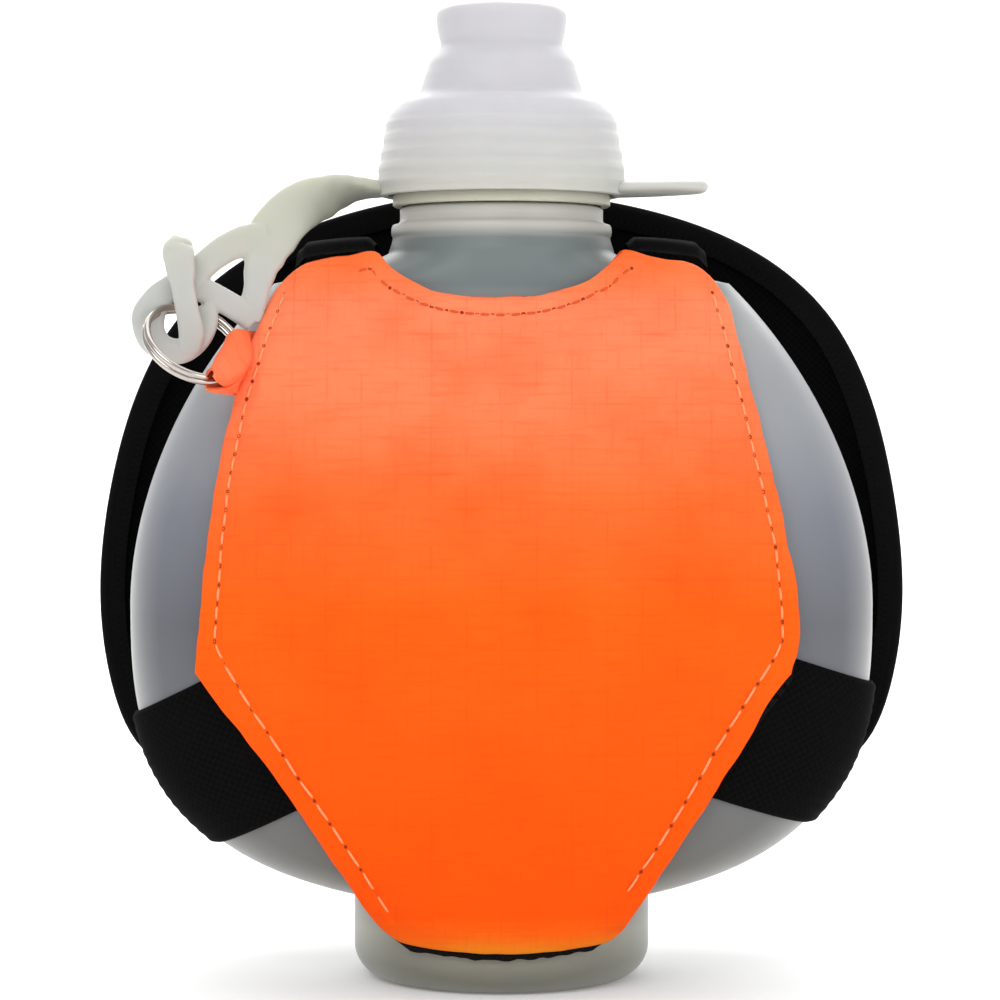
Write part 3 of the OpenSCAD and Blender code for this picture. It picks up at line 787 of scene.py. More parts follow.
def tab_half_width(t):
    """The pull tab's outline: straight sides and a round end."""
    rounding = 1.0 if t < 0.55 else math.sqrt(max(0.0, 1 - ((t - 0.55) / 0.4501) ** 2))
    return 6.0 * rounding + 0.05


def tab_half_thickness(t):
    rounding = 1 if t < 0.9 else math.sqrt(max(0.02, 1 - ((t - 0.9) / 0.101) ** 2))
    return mix(1.15, 1.0, t) * rounding


def build_cover():
    corners = rounded(COVER_OUTSIDE, 6)
    outside = dense(corners, 0.14)
    inside = offset_profile(corners, COVER_WALL)[1:-1]
    profile = [(18.5, 120.6), *outside, (0.05, 148.3), *inside[::-1]]
    profile += [(17.5, 120.6), (17.7, 120.5), (18.3, 120.5)]
    profile = [(max(r, 0.05), z) for r, z in profile]
    make("cover_shell", lathe(profile, 160, cover_bands), SILICONE, "cover", ["dust_cover"],
         sharp=60)
    path = spline([(17.4, 0, 121.65), (20, 0, 121.65), (24, 0, 121.75), (28, 0, 121.9), (32.1, 0, 122.05)], 8)
    tab = band(path, [Vector((0, 1, 0))] * len(path), tab_half_width, tab_half_thickness, 28, 0.6)
    make("cover_pull_tab", tab, SILICONE, "cover", sharp=60)


# ---- Tether, split ring and its fabric tab ----


def ring_frame():
    """The ring's place from the CAD frame: a function from its own axes to the row frame."""
    low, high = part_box("split_ring")
    centre = (low + high) / 2 / MM

    def place(x, y, z):
        return centre + RING_AXES @ Vector((x, y, z))

    return place


def build_ring():
    """Two flat coils of one wire, which steps from one to the other between its two ends."""
    place = ring_frame()
    step_at, rings = -33, []
    start, end = step_at + 18, step_at + 702
    steps = 260
    for k in range(steps + 1):
        degrees = mix(start, end, k / steps)
        a = math.radians(degrees)
        z = mix(-0.5, 0.5, ease(step_at + 343, step_at + 377, degrees)) * RING_WIRE * 0.98
        cut = RING_WIRE / 2 * min(1.0, math.sqrt(max(0.1, min(k, steps - k) / 1.5 + 0.3)))
        ring = []
        for s in turn_angles(16):
            r = RING_R + cut * math.cos(s)
            ring.append(tuple(place(r * math.cos(a), r * math.sin(a), z + cut * math.sin(s))))
        rings.append(ring)
    make("ring_coil", skin(rings), NICKEL, "ring", ["split_ring"])


def between(stations, index, t):
    """One of the stations' values at the share t of the way along them."""
    at = t * (len(stations) - 1)
    i = min(int(at), len(stations) - 2)
    return mix(stations[i][index], stations[i + 1][index], ease(0, 1, at - i))


def shaped_band(stations, per_span, facing=None):
    """A flat band through stations of (x, y, z, half width, half thickness, turn). The turn, in degrees,
    takes its width from level towards upright; with facing, the width lies square to that direction."""
    path = spline([s[:3] for s in stations], per_span)
    last = len(path) - 1
    wides = []
    for k, p in enumerate(path):
        ahead = (path[min(k + 1, last)] - path[max(k - 1, 0)]).normalized()
        if facing:
            wides.append(ahead.cross(Vector(facing)))
            continue
        level = ahead.cross(Vector((0, -1, 0))).cross(ahead).normalized()
        turn = math.radians(between(stations, 5, k / last))
        wides.append(level * math.cos(turn) + ahead.cross(level) * math.sin(turn))

    def half_wide(t):
        return between(stations, 3, t)

    def half_thin(t):
        return between(stations, 4, t)

    return band(path, wides, half_wide, half_thin, 24, 0.6)


def fuse(piece, voxel, smoothing):
    """Melt a piece's overlapping solids into one smooth moulding."""
    remesh = piece.modifiers.new("Remesh", "REMESH")
    remesh.mode = "VOXEL"
    remesh.voxel_size = voxel
    remesh.use_smooth_shade = True
    smooth = piece.modifiers.new("Smooth", "SMOOTH")
    smooth.factor = 0.5
    smooth.iterations = smoothing
    graph = bpy.context.evaluated_depsgraph_get()
    mesh = bpy.data.meshes.new_from_object(piece.evaluated_get(graph))
    piece.modifiers.clear()
    old = piece.data
    piece.data = mesh
    bpy.data.meshes.remove(old)


def build_tether():
    """The flat tether from the cover, and its slotted end threaded through the ring and back over itself."""
    strap = shaped_band([
        (-17.6, 0, 121.7, 3.6, 1.15, 0), (-19.8, 0, 121.75, 3.8, 1.2, 6),
        (-22.0, -0.3, 121.7, 3.8, 1.2, 14), (-24.4, -1.0, 121.2, 3.8, 1.15, 30),
        (-26.9, -2.5, 120.3, 3.8, 1.1, 50), (-30.1, -5.0, 119.0, 3.8, 1.05, 72),
        (-32.8, -7.5, 116.8, 3.85, 1.05, 84), (-34.9, -9.5, 113.7, 3.95, 1.05, 86),
        (-35.9, -10.8, 110.8, 3.2, 1.05, 86), (-36.5, -11.6, 108.5, 2.5, 1.05, 86),
        (-37.0, -12.2, 105.7, 2.0, 1.05, 86), (-37.6, -12.5, 103.0, 1.95, 1.05, 86),
        (-38.0, -12.6, 100.9, 1.9, 1.05, 86)], 6)
    front = (0.1, -1, 0.1)
    upper_leg = shaped_band([
        (-35.6, -9.8, 113.6, 2.6, 1.05), (-38.6, -11.0, 113.1, 2.5, 1.05), (-41.4, -12.4, 112.0, 2.2, 1.05),
        (-44.1, -14.0, 109.9, 2.05, 1.05), (-46.1, -15.2, 107.7, 2.0, 1.05),
        (-47.7, -15.8, 105.7, 1.9, 1.0)], 6, front)
    lower_leg = shaped_band([
        (-37.4, -12.6, 100.9, 1.9, 1.05), (-38.6, -13.0, 101.9, 1.9, 1.05), (-40.6, -13.6, 103.2, 1.9, 1.05),
        (-43.6, -14.4, 104.9, 1.9, 1.05), (-45.9, -15.2, 106.0, 1.9, 1.0),
        (-47.7, -15.8, 106.6, 1.8, 1.0)], 6, front)
    eye = shaped_band([
        (-47.4, -15.8, 106.9, 1.8, 1.1), (-49.5, -16.0, 105.9, 1.9, 1.2), (-51.6, -16.3, 104.0, 2.2, 1.3),
        (-52.9, -16.6, 101.5, 2.5, 1.35), (-52.5, -16.8, 98.7, 2.3, 1.3), (-50.6, -16.6, 96.7, 2.0, 1.25),
        (-47.9, -16.2, 96.4, 1.9, 1.2), (-45.6, -15.6, 98.2, 1.9, 1.1), (-44.5, -15.0, 100.8, 1.9, 1.0),
        (-44.8, -14.8, 103.2, 1.8, 1.0)], 6, front)
    bight = shaped_band([
        (-48.3, -15.2, 110.0, 1.9, 0.95), (-48.3, -15.9, 111.3, 2.1, 0.95), (-48.3, -17.2, 111.7, 2.3, 0.95),
        (-48.2, -18.3, 110.7, 2.4, 0.95), (-47.9, -18.5, 108.6, 2.2, 0.95), (-47.5, -18.5, 105.6, 1.75, 0.95),
        (-46.9, -18.2, 102.2, 1.75, 0.95), (-46.4, -17.5, 99.2, 1.9, 0.95), (-46.7, -16.6, 96.6, 1.7, 0.95)],
        6, (0.1, -1, 0.02))
    piece = make("tether_band", join(strap, upper_leg, lower_leg, eye, bight), TETHER_SILICONE, None,
                 ["tether_strap", "tether_hitch"])
    fuse(piece, 0.24 * MM, 3)
    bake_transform(piece)


def thicken(grid, half):
    """Two grids, half off each side of a grid of points."""
    rows, cols = len(grid), len(grid[0])
    sides = ([], [])
    for r in range(rows):
        lines = ([], [])
        for c in range(cols):
            down = grid[min(r + 1, rows - 1)][c] - grid[max(r - 1, 0)][c]
            over = grid[r][min(c + 1, cols - 1)] - grid[r][max(c - 1, 0)]
            out = over.cross(down).normalized() * half
            lines[0].append(tuple(grid[r][c] + out))
            lines[1].append(tuple(grid[r][c] - out))
        sides[0].append(lines[0])
        sides[1].append(lines[1])
    return sides


def on_body(place, lift):
    """The point at (x, z) on the front of the bottle, lifted off it."""
    x, z = place
    return Vector((x, -drape(x, z, lift), z))


def build_ring_tab():
    """An orange ribbon folded round the ring, its two ends sewn in under the shield's edge."""
    place = ring_frame()
    centre = place(0, 0, 0)
    axis = (place(0, 0, 1) - centre).normalized()
    columns = 16
    lines = []
    for i in range(columns + 1):
        s = i / columns
        a = math.radians(mix(55, -47, s))
        wire = place(RING_R * math.cos(a), RING_R * math.sin(a), 0)
        inward = (centre - wire).normalized()
        fold = 1.35 + 2.2 * (1 - (2 * s - 1) ** 2)
        edge = (mix(-37.2, -39.0, s), mix(99.4, 89.7, s))
        sewn = (mix(-34.6, -35.8, s), mix(99.8, 89.9, s))
        lines.append([
            on_body(sewn, 1.0), on_body(edge, 1.5), wire - inward * 1.2 + axis * 1.15, wire + axis * 1.65,
            wire + inward * (fold * 0.65) + axis * 1.35, wire + inward * fold,
            wire + inward * (fold * 0.65) - axis * 1.35, wire - axis * 1.65,
            wire - inward * 1.2 - axis * 1.15, on_body(edge, 0.7), on_body(sewn, 0.35)])
    paths = [spline(line, 6) for line in lines]
    grid = [[path[k] for path in paths] for k in range(len(paths[0]))]
    cloth = []
    for k in range(len(grid)):
        for i in range(columns + 1):
            run = (grid[k][i] - grid[0][i]).length
            cloth.append((i * 0.6, 88 + run))
    make("ring_ribbon", sheet_skin(*thicken(grid, 0.22)), RIPSTOP, "root", ["ring_tab"],
         cloth=cloth * 2)


# ---- Front shield ----


def side_half_width(z):
    """Half width of the shield's outline at height z, without its rounded corners."""
    if z < CORNER_Z:
        return mix(HEM_HALF_W, CORNER_HALF_W, (z - HEM_Z) / (CORNER_Z - HEM_Z))
    return CORNER_HALF_W - SIDE_DRAW * (min(z - CORNER_Z, 60) / 53) ** 1.75


def shield_half_width(z):
    top = clamp01((z - SHIELD_TOP_Z) / SHIELD_SHOULDER_ROUND + 1)
    hem = clamp01((HEM_Z - z) / HEM_ROUND + 1)
    return (side_half_width(z) - SHIELD_SHOULDER_ROUND * (1 - math.sqrt(1 - top * top))
            - HEM_ROUND * (1 - math.sqrt(1 - hem * hem)))


def shield_top(x):
    """Height of the top edge: shoulders that fall away outwards, with the neckline scooped between them."""
    scoop = NECKLINE_Z + (SHIELD_TOP_Z - NECKLINE_Z) * clamp01(abs(x) / NECKLINE_HALF_W) ** 2.6
    return scoop + 0.6 * bump(abs(x), 19.5, 3.5) - 0.0125 * max(0.0, abs(x) - 20) ** 2


def hem_line(x):
    """Height of the hem, which sags across the foot."""
    return HEM_Z - HEM_SAG * (1 - clamp01(abs(x) / HEM_HALF_W) ** 2) + 0.12 * wobble(x, 0, 3.2, 14)


def slope_cos(function, v):
    """Cosine of the outline's slope, to turn a distance along an axis into one square to the edge."""
    rise = (function(v + 0.2) - function(v - 0.2)) / 0.4
    return 1 / math.sqrt(1 + rise * rise)


def drape(x, z, g):
    foot = math.sqrt(max(0.0, (FOOT_R + g) ** 2 - x * x))
    return mix(foot, face_depth(x, max(z, 16.0), g), ease(3, 15.5, z))


def shield_gap(z):
    return mix(1.1, ELASTIC_GAP + ELASTIC_T + 0.3, ease(8, 24, z) * (1 - ease(54, 76, z)))


def shield_relief(x, z):
    """How far the cloth stands off its plain shape: seam, puffed edge, folds and the bulge over the tab."""
    lift = 2.6 * math.exp(-((x + 38.0) ** 2 / 20 + (z - 94.0) ** 2 / 42))
    x -= shield_shift(z)
    side = (side_half_width(z) - abs(x)) * slope_cos(side_half_width, z)
    top = (shield_top(x) - z) * slope_cos(shield_top, x) if abs(x) < 23 else 99
    low = ease(9, 14, z)
    seam = -0.34 * bump(side, STITCH_INSET, 1.2) * low - 0.34 * bump(top, NECK_STITCH_INSET, 1.2)
    puff = 0.28 * bump(side, 1.7, 1.5) * low + 0.22 * bump(top, 1.7, 1.5)
    near_edge = 1 - ease(2, 11, min(side, top))
    corner = bump(z, 108, 9) * ease(14, 22, abs(x))
    pucker = (0.22 + 0.5 * corner) * near_edge * wobble(x, z, 2.8, 5)
    folds = 0.75 * wobble(x * 0.7, z, 24, 1) + 0.42 * wobble(x, z * 0.6, 11, 2) + 0.2 * wobble(x, z, 5, 7)
    slack = (1 - near_edge * 0.6) * folds
    return seam + puff + pucker + slack * 0.8 + lift + 0.45


def shield_y(x, z, lift):
    return -(drape(x, z, shield_gap(z) + lift) + shield_relief(x, z) * 0.75)


def shield_shift(z):
    """The harness sits a little to the left of the bottle's middle."""
    return sum(swell(z, *shift) for shift in SHIELD_SHIFTS)


EDGE_STEPS = [0, 0.12, 0.35, 0.7, 1.1, 1.6, 2.1, 2.6, 3.0, 3.3, 3.6, 4.0, 4.6, 5.4, 6.4, 7.6]


def shield_columns(half, count=64):
    """Distances from the middle across one row, closer together near both edges."""
    edge = [half - d for d in EDGE_STEPS]
    inner = [edge[-1] * (1 - k / (count / 2)) for k in range(1, count // 2 + 1)]
    right = edge + inner
    return [-x for x in right[:-1]] + right[::-1]


def shield_rows(count=150):
    edge = [0, 0.001, 0.0035, 0.007, 0.012, 0.018, 0.026, 0.035, 0.046]
    middle = [mix(edge[-1], 1 - edge[-1], k / count) for k in range(1, count)]
    return edge + middle + [1 - e for e in edge[::-1]]


def outline_wander(z, side):
    """The sewn edge wanders in and out a little."""
    return 0.34 * wobble(z, side * 40, 6.5, 3) + 0.16 * wobble(z, side * 40, 2.4, 4)


def shield_grid(lift):
    """One face of the cloth as rows of points, with each point's place on the flat cloth."""
    grid, cloth = [], []
    for v in shield_rows():
        half = shield_half_width(mix(HEM_Z, SHIELD_TOP_Z, v))
        row, flat = [], []
        for x in shield_columns(half):
            side = 1 if x > 0 else -1
            z = mix(hem_line(x), shield_top(x), v)
            near = half - abs(x)
            x += side * outline_wander(z, side) * (1 - ease(0, 5, near))
            z += 0.55 * wobble(x, 3.0, 4.0, 6) * ease(0.93, 1, v)
            edge = min(near, shield_top(x) - z, z - hem_line(x))
            round_off = math.sqrt(max(0.0, 1 - (1 - clamp01(edge / 0.5)) ** 2))
            x += shield_shift(z) - (swell(z, *SHIELD_RIGHT_DRAW) * clamp01(x / 30) if x > 0 else 0)
            row.append((x, shield_y(x, z, mix(SHIELD_T / 2, lift, round_off)), z))
            flat.append((x, z))
        grid.append(row)
        cloth.append(flat)
    return grid, cloth


def build_shield():
    front, flat = shield_grid(SHIELD_T)
    back, _ = shield_grid(0.0)
    piece = make("shield_cloth", sheet_skin(front, back), RIPSTOP, "root", ["shield_face"],
                 cloth=both_faces(flat), sharp=80)


def build_lining():
    """The black lining inside the shield, which shows as a strip below the hem."""
    grids = []
    for lift in (0.55, 0.05):
        grid = []
        for k in range(61):
            v = k / 60
            half = shield_half_width(mix(HEM_Z, SHIELD_TOP_Z, v)) - LINING_MARGIN
            row = []
            for i in range(49):
                x = half * (2 * i / 48 - 1)
                low = hem_line(x) - LINING_DROP - 0.3 * wobble(x, 0, 1.6, 8)
                z = mix(low, shield_top(x) - LINING_MARGIN, v)
                row.append((x, -drape(x, z, 0.35 + lift), z))
            grid.append(row)
        grids.append(grid)
    cloth = [(p[0], p[2]) for grid in grids for row in grid for p in row]
    piece = make("lining_cloth", sheet_skin(*grids), LINING, "root", ["shield_lining"],
                 cloth=cloth, sharp=80)


def along_path(points, step):
    """Points every step along a polyline. The step may be a function of the last point."""
    gap = step if callable(step) else lambda p: step
    out, left = [points[0]], gap(points[0])
    for a, b in zip(points, points[1:]):
        length = (b - a).length
        at = left
        while at <= length:
            out.append(a.lerp(b, at / length))
            at += gap(out[-1])
        left = at - length
    return out


def stitch(a, b, out, radius, sink):
    """One stitch: a short tube that arches out of the cloth and dives in at both ends."""
    rings, steps = [], 8
    along = (b - a).normalized()
    side = along.cross(out).normalized()
    up = side.cross(along)
    for k in range(steps + 1):
        t = k / steps
        arch = 1 - (2 * t - 1) ** 4
        r = radius * (0.55 + 0.45 * arch)
        centre = a.lerp(b, t) + up * mix(-sink, radius * 0.55, arch)
        rings.append([tuple(centre + side * r * math.cos(s) + up * r * 0.8 * math.sin(s))
                      for s in turn_angles(8)])
    return skin(rings)


def needle_hole_shade(p, out, radius):
    """A small dimple where the thread goes through, coloured dark: painted shade in the hole."""
    side = out.orthogonal().normalized()
    other = out.cross(side)
    rings = []
    for r, lift in ((1.0, -0.02), (0.85, 0.05), (0.3, 0.02)):
        rings.append([tuple(p + (side * math.cos(s) + other * math.sin(s)) * radius * r + out * lift)
                      for s in turn_angles(10)])
    return skin(rings)


def sew(path, surface, outward, pitch=3.1, radius=0.2, sink=0.25):
    """Stitches and needle holes along a path. surface(p) puts a path point on the cloth, outward(p) is its
    normal there, and pitch may be a function of the point."""
    stitches, hole_shades = [], []
    marks = along_path(path, pitch)
    for k, (a, b) in enumerate(zip(marks, marks[1:])):
        run = (b - a).normalized() * 0.34
        sway = Vector((run.z, 0, -run.x)) * 0.35 * wobble(k, 5, 1.3, 18)
        start, end = surface(a + run + sway), surface(b - run - sway)
        stitches.append(stitch(start, end, outward((start + end) / 2), radius, sink))
        # Each needle hole is a dark dimple: painted shade in the hole.
        hole = surface(b)
        hole_shades.append(needle_hole_shade(hole, outward(hole), 0.33 + 0.1 * wobble(k, 0, 1.7, 9)))
    return stitches, hole_shades


def build_shield_stitches():
    """Rows of stitches down both sides and round the neckline."""

    def surface(p):
        return Vector((p.x, shield_y(p.x, p.z, SHIELD_T), p.z))

    def side_pitch(p):
        return mix(4.1, 2.8, ease(46, 54, p.z))

    def outward(p):
        step = 0.4
        dx = shield_y(p.x + step, p.z, SHIELD_T) - shield_y(p.x - step, p.z, SHIELD_T)
        dz = shield_y(p.x, p.z + step, SHIELD_T) - shield_y(p.x, p.z - step, SHIELD_T)
        return Vector((dx / (2 * step), -1, dz / (2 * step))).normalized()

    hole_shades = []
    for side, name, bottom in ((-1, "left", 12.4), (1, "right", 15.6)):
        path = []
        for k in range(91):
            z = mix(bottom, 107.2, k / 90)
            x = side_half_width(z) - STITCH_INSET / slope_cos(side_half_width, z)
            path.append(Vector((side * (x + 0.3 * wobble(z, side, 7, 12)) + shield_shift(z), 0, z)))
        stitches, found = sew(path, surface, outward, side_pitch, 0.2)
        hole_shades += found
        make("shield_stitches_" + name, join(*stitches), THREAD_PALE, "root")
    path = []
    for k in range(81):
        x = mix(-21.5, 21.0, k / 80)
        z = shield_top(x) - NECK_STITCH_INSET / slope_cos(shield_top, x) + 0.2 * wobble(x, 1, 4, 13)
        path.append(Vector((x + shield_shift(z), 0, z)))
    stitches, found = sew(path, surface, outward, 2.3, 0.19)
    make("shield_stitches_neck", join(*stitches), THREAD_DEEP, "root")
    # The dark needle-hole dimples of all three seams: painted shade in the holes.
    make("shield_needle_hole_shades", join(*hole_shades, *found), NEEDLE_HOLE_SHADE, "root")


# ---- Side elastics ----


def body_reach(core, ray, g):
    """How far a ray from the body's core runs before it leaves the body grown by g."""
    near, far = 5.0, 90.0
    for _ in range(18):
        middle = (near + far) / 2
        if in_body(core + middle * ray, g):
            near = middle
        else:
            far = middle
    return near


def build_elastic(side, name, node):
    """A gathered elastic round the body's edge. The right one has pulled up flatter than the left."""
    slope, core_z = ELASTIC_LEFT if side < 0 else ELASTIC_RIGHT
    angle = math.radians(slope)
    along = Vector((math.cos(angle), 0, -math.sin(angle)))
    across = Vector((math.sin(angle), 0, math.cos(angle)))
    ribs, per_rib, steps = 13, 6, 44
    columns = ribs * per_rib
    outer, inner, cloth = [], [], []
    for k in range(steps + 1):
        a = math.radians(mix(-33, 25, k / steps))
        out_row, in_row, flat = [], [], []
        for i in range(columns + 1):
            share = i / columns
            offset = ELASTIC_W * (share - 0.5)
            core = Vector((0, 0, core_z)) + across * offset
            ray = along * math.cos(a) + Vector((0, 1, 0)) * math.sin(a)
            far = body_reach(core, ray, ELASTIC_GAP)
            rib = 0.5 - 0.5 * math.cos(2 * math.pi * i / per_rib)
            edge = 1 - ease(0, 0.5, min(share, 1 - share) * ELASTIC_W)
            wave = 0.16 * wobble(a * 30, offset, 7, 20)
            thick = ELASTIC_T * (1 - 0.55 * edge) - 0.1 * (1 - rib) + wave
            for row, reach in ((out_row, far + thick), (in_row, far + 0.15 * edge)):
                p = core + ray * reach
                row.append((side * p.x, p.y, p.z))
            flat.append((offset, a * 58))
        outer.append(out_row)
        inner.append(in_row)
        cloth.append(flat)
    piece = make(name, sheet_skin(outer, inner), ELASTIC, "root", [node],
                 cloth=both_faces(cloth), sharp=70)


# ---- Back panel, binding and straps ----


def back_radius(a):
    """The panel's radius: a circle with fuller upper corners, cut off square above the foot."""
    corner = max(0.0, abs(math.sin(2 * a)) if math.sin(a) > 0 else 0.0) ** 3
    circle_r = BACK_R * (1 + BACK_BULGE * corner * (0.8 if math.cos(a) > 0 else 1.0))
    return ((1 / circle_r) ** 8 + (max(0.0, -math.sin(a)) / BACK_FOOT_DROP) ** 8) ** (-1 / 8)


def back_face_y(r, a):
    return BACK_Y - mix(BACK_CURL, 3, ease(0.6, 0.9, math.sin(a))) * (r / BACK_R) ** 3.5


def back_point(r, a, lift):
    z = BACK_CENTRE_Z + r * math.sin(a)
    x = -r * math.cos(a) - swell(z, *PANEL_SHIFT)
    return (x - (swell(z, *PANEL_RIGHT_DRAW) if x > 0 else 0), back_face_y(r, a) + lift, z)


def build_back_panel():
    """A dished neoprene panel with soft quilting hollows on its rear face."""
    shares = [0.01, *(mix(0.04, 0.9, k / 26) for k in range(27)), 0.92, 0.94, 0.96, 0.975, 0.985, 0.993, 1.0]
    rings, cloth = [], []
    for face, order in ((0, shares), (1, shares[::-1])):
        for share in order:
            ring = []
            for a in turn_angles(180):
                r = share * back_radius(a)
                edge = (1 - share) * back_radius(a)
                soft = 1.1 * (1 - math.sqrt(1 - (1 - clamp01(edge / 1.6)) ** 2))
                seam = 0.35 * bump(edge, 4.6, 1.2)
                wave = 0.25 * wobble(r * math.cos(a), r * math.sin(a), 17, 30 + face)
                if face:
                    lift = BACK_T - soft - seam + wave * ease(0, 6, edge)
                else:
                    lift = soft + seam * 0.6 + wave * 0.4
                ring.append(back_point(r, a, lift))
                cloth.append((r * math.cos(a), r * math.sin(a)))
            rings.append(ring)
    piece = make("panel_foam", skin(rings), NEOPRENE, "root", ["back_panel"],
                 cloth=cloth, sharp=75)


def build_binding():
    """Tape folded over the panel's edge, with its stitches on both faces."""
    profile = []
    for k in range(25):
        a = math.radians(mix(-90, 90, k / 24))
        lift = BACK_T / 2 + (BACK_T / 2 + 0.3) * signed_pow(math.sin(a), 0.7)
        profile.append((1.15 * math.cos(a) - 0.05, lift))
    profile += [(-1.6, BACK_T + 0.32), (-3.0, BACK_T + 0.2), (-3.0, BACK_T - 0.3), (-0.4, BACK_T - 0.6),
                (-0.4, 0.6), (-3.0, 0.3), (-3.0, -0.2), (-1.6, -0.32)]
    rings, cloth, run = [], [], 0.0
    before = None
    for i, a in enumerate(turn_angles(240)):
        edge = back_radius(a)
        ring = []
        for j, (dr, lift) in enumerate(profile):
            r = edge + dr
            y = back_face_y(edge, a) + lift + 0.06 * wobble(i * 0.5, j, 2.5, 40)
            ring.append((-r * math.cos(a), y, BACK_CENTRE_Z + r * math.sin(a)))
        here = Vector(ring[12])
        run += (here - before).length if before else 0
        before = here
        cloth += [(j * 0.35, run) for j in range(len(profile))]
        rings.append(ring)
    make("panel_binding", skin(rings, wrap=True), BINDING, "root", ["back_binding"],
         cloth=cloth, sharp=75)
    stitches = []
    for lift, out in ((BACK_T + 0.3, 1), (-0.3, -1)):
        path = []
        for i in range(241):
            a = 2 * math.pi * i / 240
            path.append(Vector(back_point(back_radius(a) - 2.2, a, lift)))
        found, _ = sew(path, lambda p: p, lambda p: Vector((0, out, 0)), 3.1, 0.2, 0.2)
        stitches += found
    make("panel_stitches", join(*stitches), THREAD_BLACK, "root")


def build_shoulder_strap(side, name, node):
    """A strip over the bottle's shoulder that ties the top of the shield to the back panel."""
    top, under, cloth = [], [], []
    for k in range(31):
        v = k / 30
        top_row, under_row, flat = [], [], []
        for i in range(41):
            share = i / 40
            x = mix(*SHOULDER_STRAP_X, share)
            y = mix(*SHOULDER_STRAP_Y, v)
            fall = 1.5 * share**2
            z = SHOULDER_STRAP_Z + 1.6 * math.sin(math.radians(150 * v)) - fall * (1 - 0.7 * v)
            z -= 1.4 * (1 - ease(0, 0.2, v))
            edge = 1 - ease(0, 1.4, min(share, 1 - share) * SHOULDER_STRAP_W)
            top_row.append((side * x, y, z + SHOULDER_STRAP_T - 1.0 * edge))
            under_row.append((side * x, y, z + 0.3 * edge))
            flat.append((x, y))
        top.append(top_row)
        under.append(under_row)
        cloth.append(flat)
    piece = make(name, sheet_skin(top, under), STRAP_CLOTH, "root", [node],
                 cloth=both_faces(cloth), sharp=75)


def build_hand_strap():
    """An arched elastic strap over the back of the hand, ribbed along its length, sewn at both ends."""
    rise = HAND_STRAP_INNER_Y - HAND_STRAP_END_Y
    radius = (HAND_STRAP_HALF_SPAN**2 + rise**2) / (2 * rise)
    half_turn = math.asin(min(1.0, HAND_STRAP_HALF_SPAN / radius))
    ribs, per_rib = 16, 5
    columns = ribs * per_rib
    outer, inner, cloth = [], [], []
    for k in range(81):
        a = mix(-half_turn, half_turn, k / 80)
        out_row, in_row, flat = [], [], []
        for i in range(columns + 1):
            share = i / columns
            offset = HAND_STRAP_W * (share - 0.5)
            edge = 1 - ease(0, 0.8, min(share, 1 - share) * HAND_STRAP_W)
            rib = 0.3 * (0.5 + 0.5 * math.cos(2 * math.pi * i / per_rib))
            outside = radius + HAND_STRAP_T - 0.7 * edge - rib
            for row, r in ((out_row, outside), (in_row, radius + 0.4 * edge + rib * 0.5)):
                y = HAND_STRAP_INNER_Y - radius + r * math.cos(a)
                row.append((r * math.sin(a), y, HAND_STRAP_Z + offset))
            flat.append((offset, a * radius))
        outer.append(out_row)
        inner.append(in_row)
        cloth.append(flat)
    piece = make("hand_web", sheet_skin(outer, inner), ELASTIC, "root", ["hand_strap"],
                 cloth=both_faces(cloth), sharp=75)


# ---- Stage, light and camera ----


def build_stage():
    """A pale floor that sweeps up into a backdrop."""
    floor = new_material("pale_floor", Roughness=0.9, Specular_IOR_Level=0.1)
    t = Tree(floor)
    t.set(Base_Color=t.blend(t.noise(t.place(), 0.2, 2), grey(0.92), grey(0.94)))
    t.set(Emission_Color=grey(1.0), Emission_Strength=0.13)
    profile = [(y, 0.0) for y in (-2600, -1500, -700, 0, 700)]
    profile += [*arc(1100, 900, 900, -90, 0, 16), (2000, 1800), (2000, 3000)]
    rings = [[(x, y, z) for x in (-3500, -1200, 0, 1200, 3500)] for y, z in profile]
    cols = 5
    faces = [(r * cols + c, r * cols + c + 1, (r + 1) * cols + c + 1, (r + 1) * cols + c)
             for r in range(len(rings) - 1) for c in range(cols - 1)]
    piece = make("floor", ([p for ring in rings for p in ring], faces), floor, None)


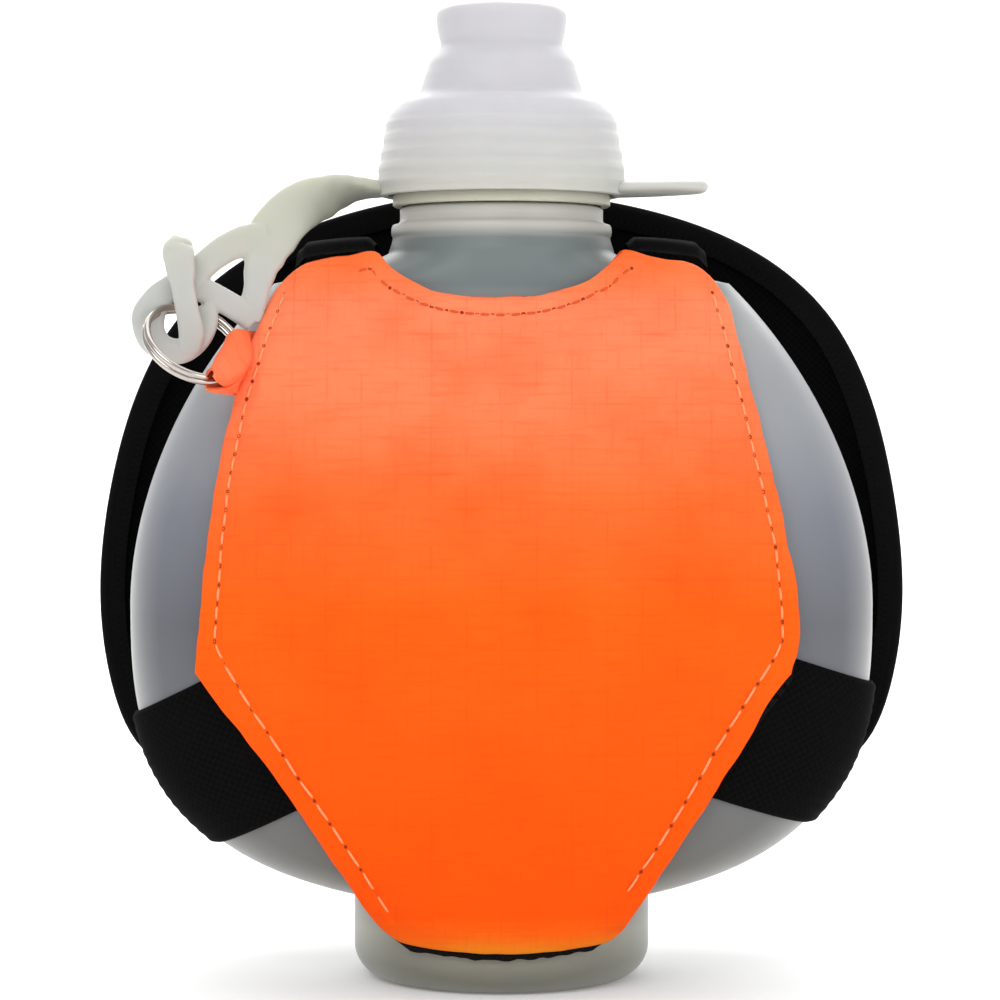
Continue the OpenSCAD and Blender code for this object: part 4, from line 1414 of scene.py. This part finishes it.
def area_light(name, place, aim, size, power):
    data = bpy.data.lights.new(name, "AREA")
    data.shape = "RECTANGLE"
    data.size, data.size_y = size
    data.energy = power
    light = bpy.data.objects.new(name, data)
    light.location = place
    light.rotation_euler = (Vector(aim) - Vector(place)).to_track_quat("-Z", "Y").to_euler()
    bpy.context.scene.collection.objects.link(light)


def build_lights():
    world = bpy.data.worlds.new("studio")
    bpy.context.scene.world = world
    world.use_nodes = True
    background = world.node_tree.nodes["Background"]
    background.inputs[0].default_value = grey(1.0)
    background.inputs[1].default_value = 0.6
    aim = (0, 0, 0.075)
    area_light("key_light", (-0.35, -0.9, 0.75), aim, (0.7, 0.5), 4.0)
    area_light("fill_light", (0.75, -0.7, 0.35), aim, (0.6, 0.6), 2.2)
    area_light("top_light", (0.0, 0.1, 1.1), aim, (1.0, 0.7), 3.0)
    area_light("back_light", (0.0, 0.9, 0.6), (0, 0.6, 0.0), (1.6, 0.5), 5.0)
    area_light("backdrop_light", (0.0, 1.1, 1.5), (0, 1.7, 0.35), (2.4, 0.8), 22.0)


def build_camera():
    data = bpy.data.cameras.new("camera")
    data.sensor_width = 36
    data.lens = CAMERA_LENS
    camera = bpy.data.objects.new("camera", data)
    camera.location = (CAMERA_X, CAMERA_Y, CAMERA_Z)
    aim = Vector((CAMERA_X, 0, CAMERA_AIM_Z)) - camera.location
    camera.rotation_euler = aim.to_track_quat("-Z", "Y").to_euler()
    bpy.context.scene.collection.objects.link(camera)
    bpy.context.scene.camera = camera
    bpy.context.scene.view_settings.view_transform = "Standard"


build_camera()
build_stage()
build_lights()
build_bottle()
build_cap()
build_cover()
build_tether()
build_ring()
build_ring_tab()
build_shield()
build_lining()
build_shield_stitches()
build_elastic(1, "elastic_web_right", "elastic_right")
build_elastic(-1, "elastic_web_left", "elastic_left")
build_back_panel()
build_binding()
build_shoulder_strap(1, "shoulder_web_right", "shoulder_strap_right")
build_shoulder_strap(-1, "shoulder_web_left", "shoulder_strap_left")
build_hand_strap()
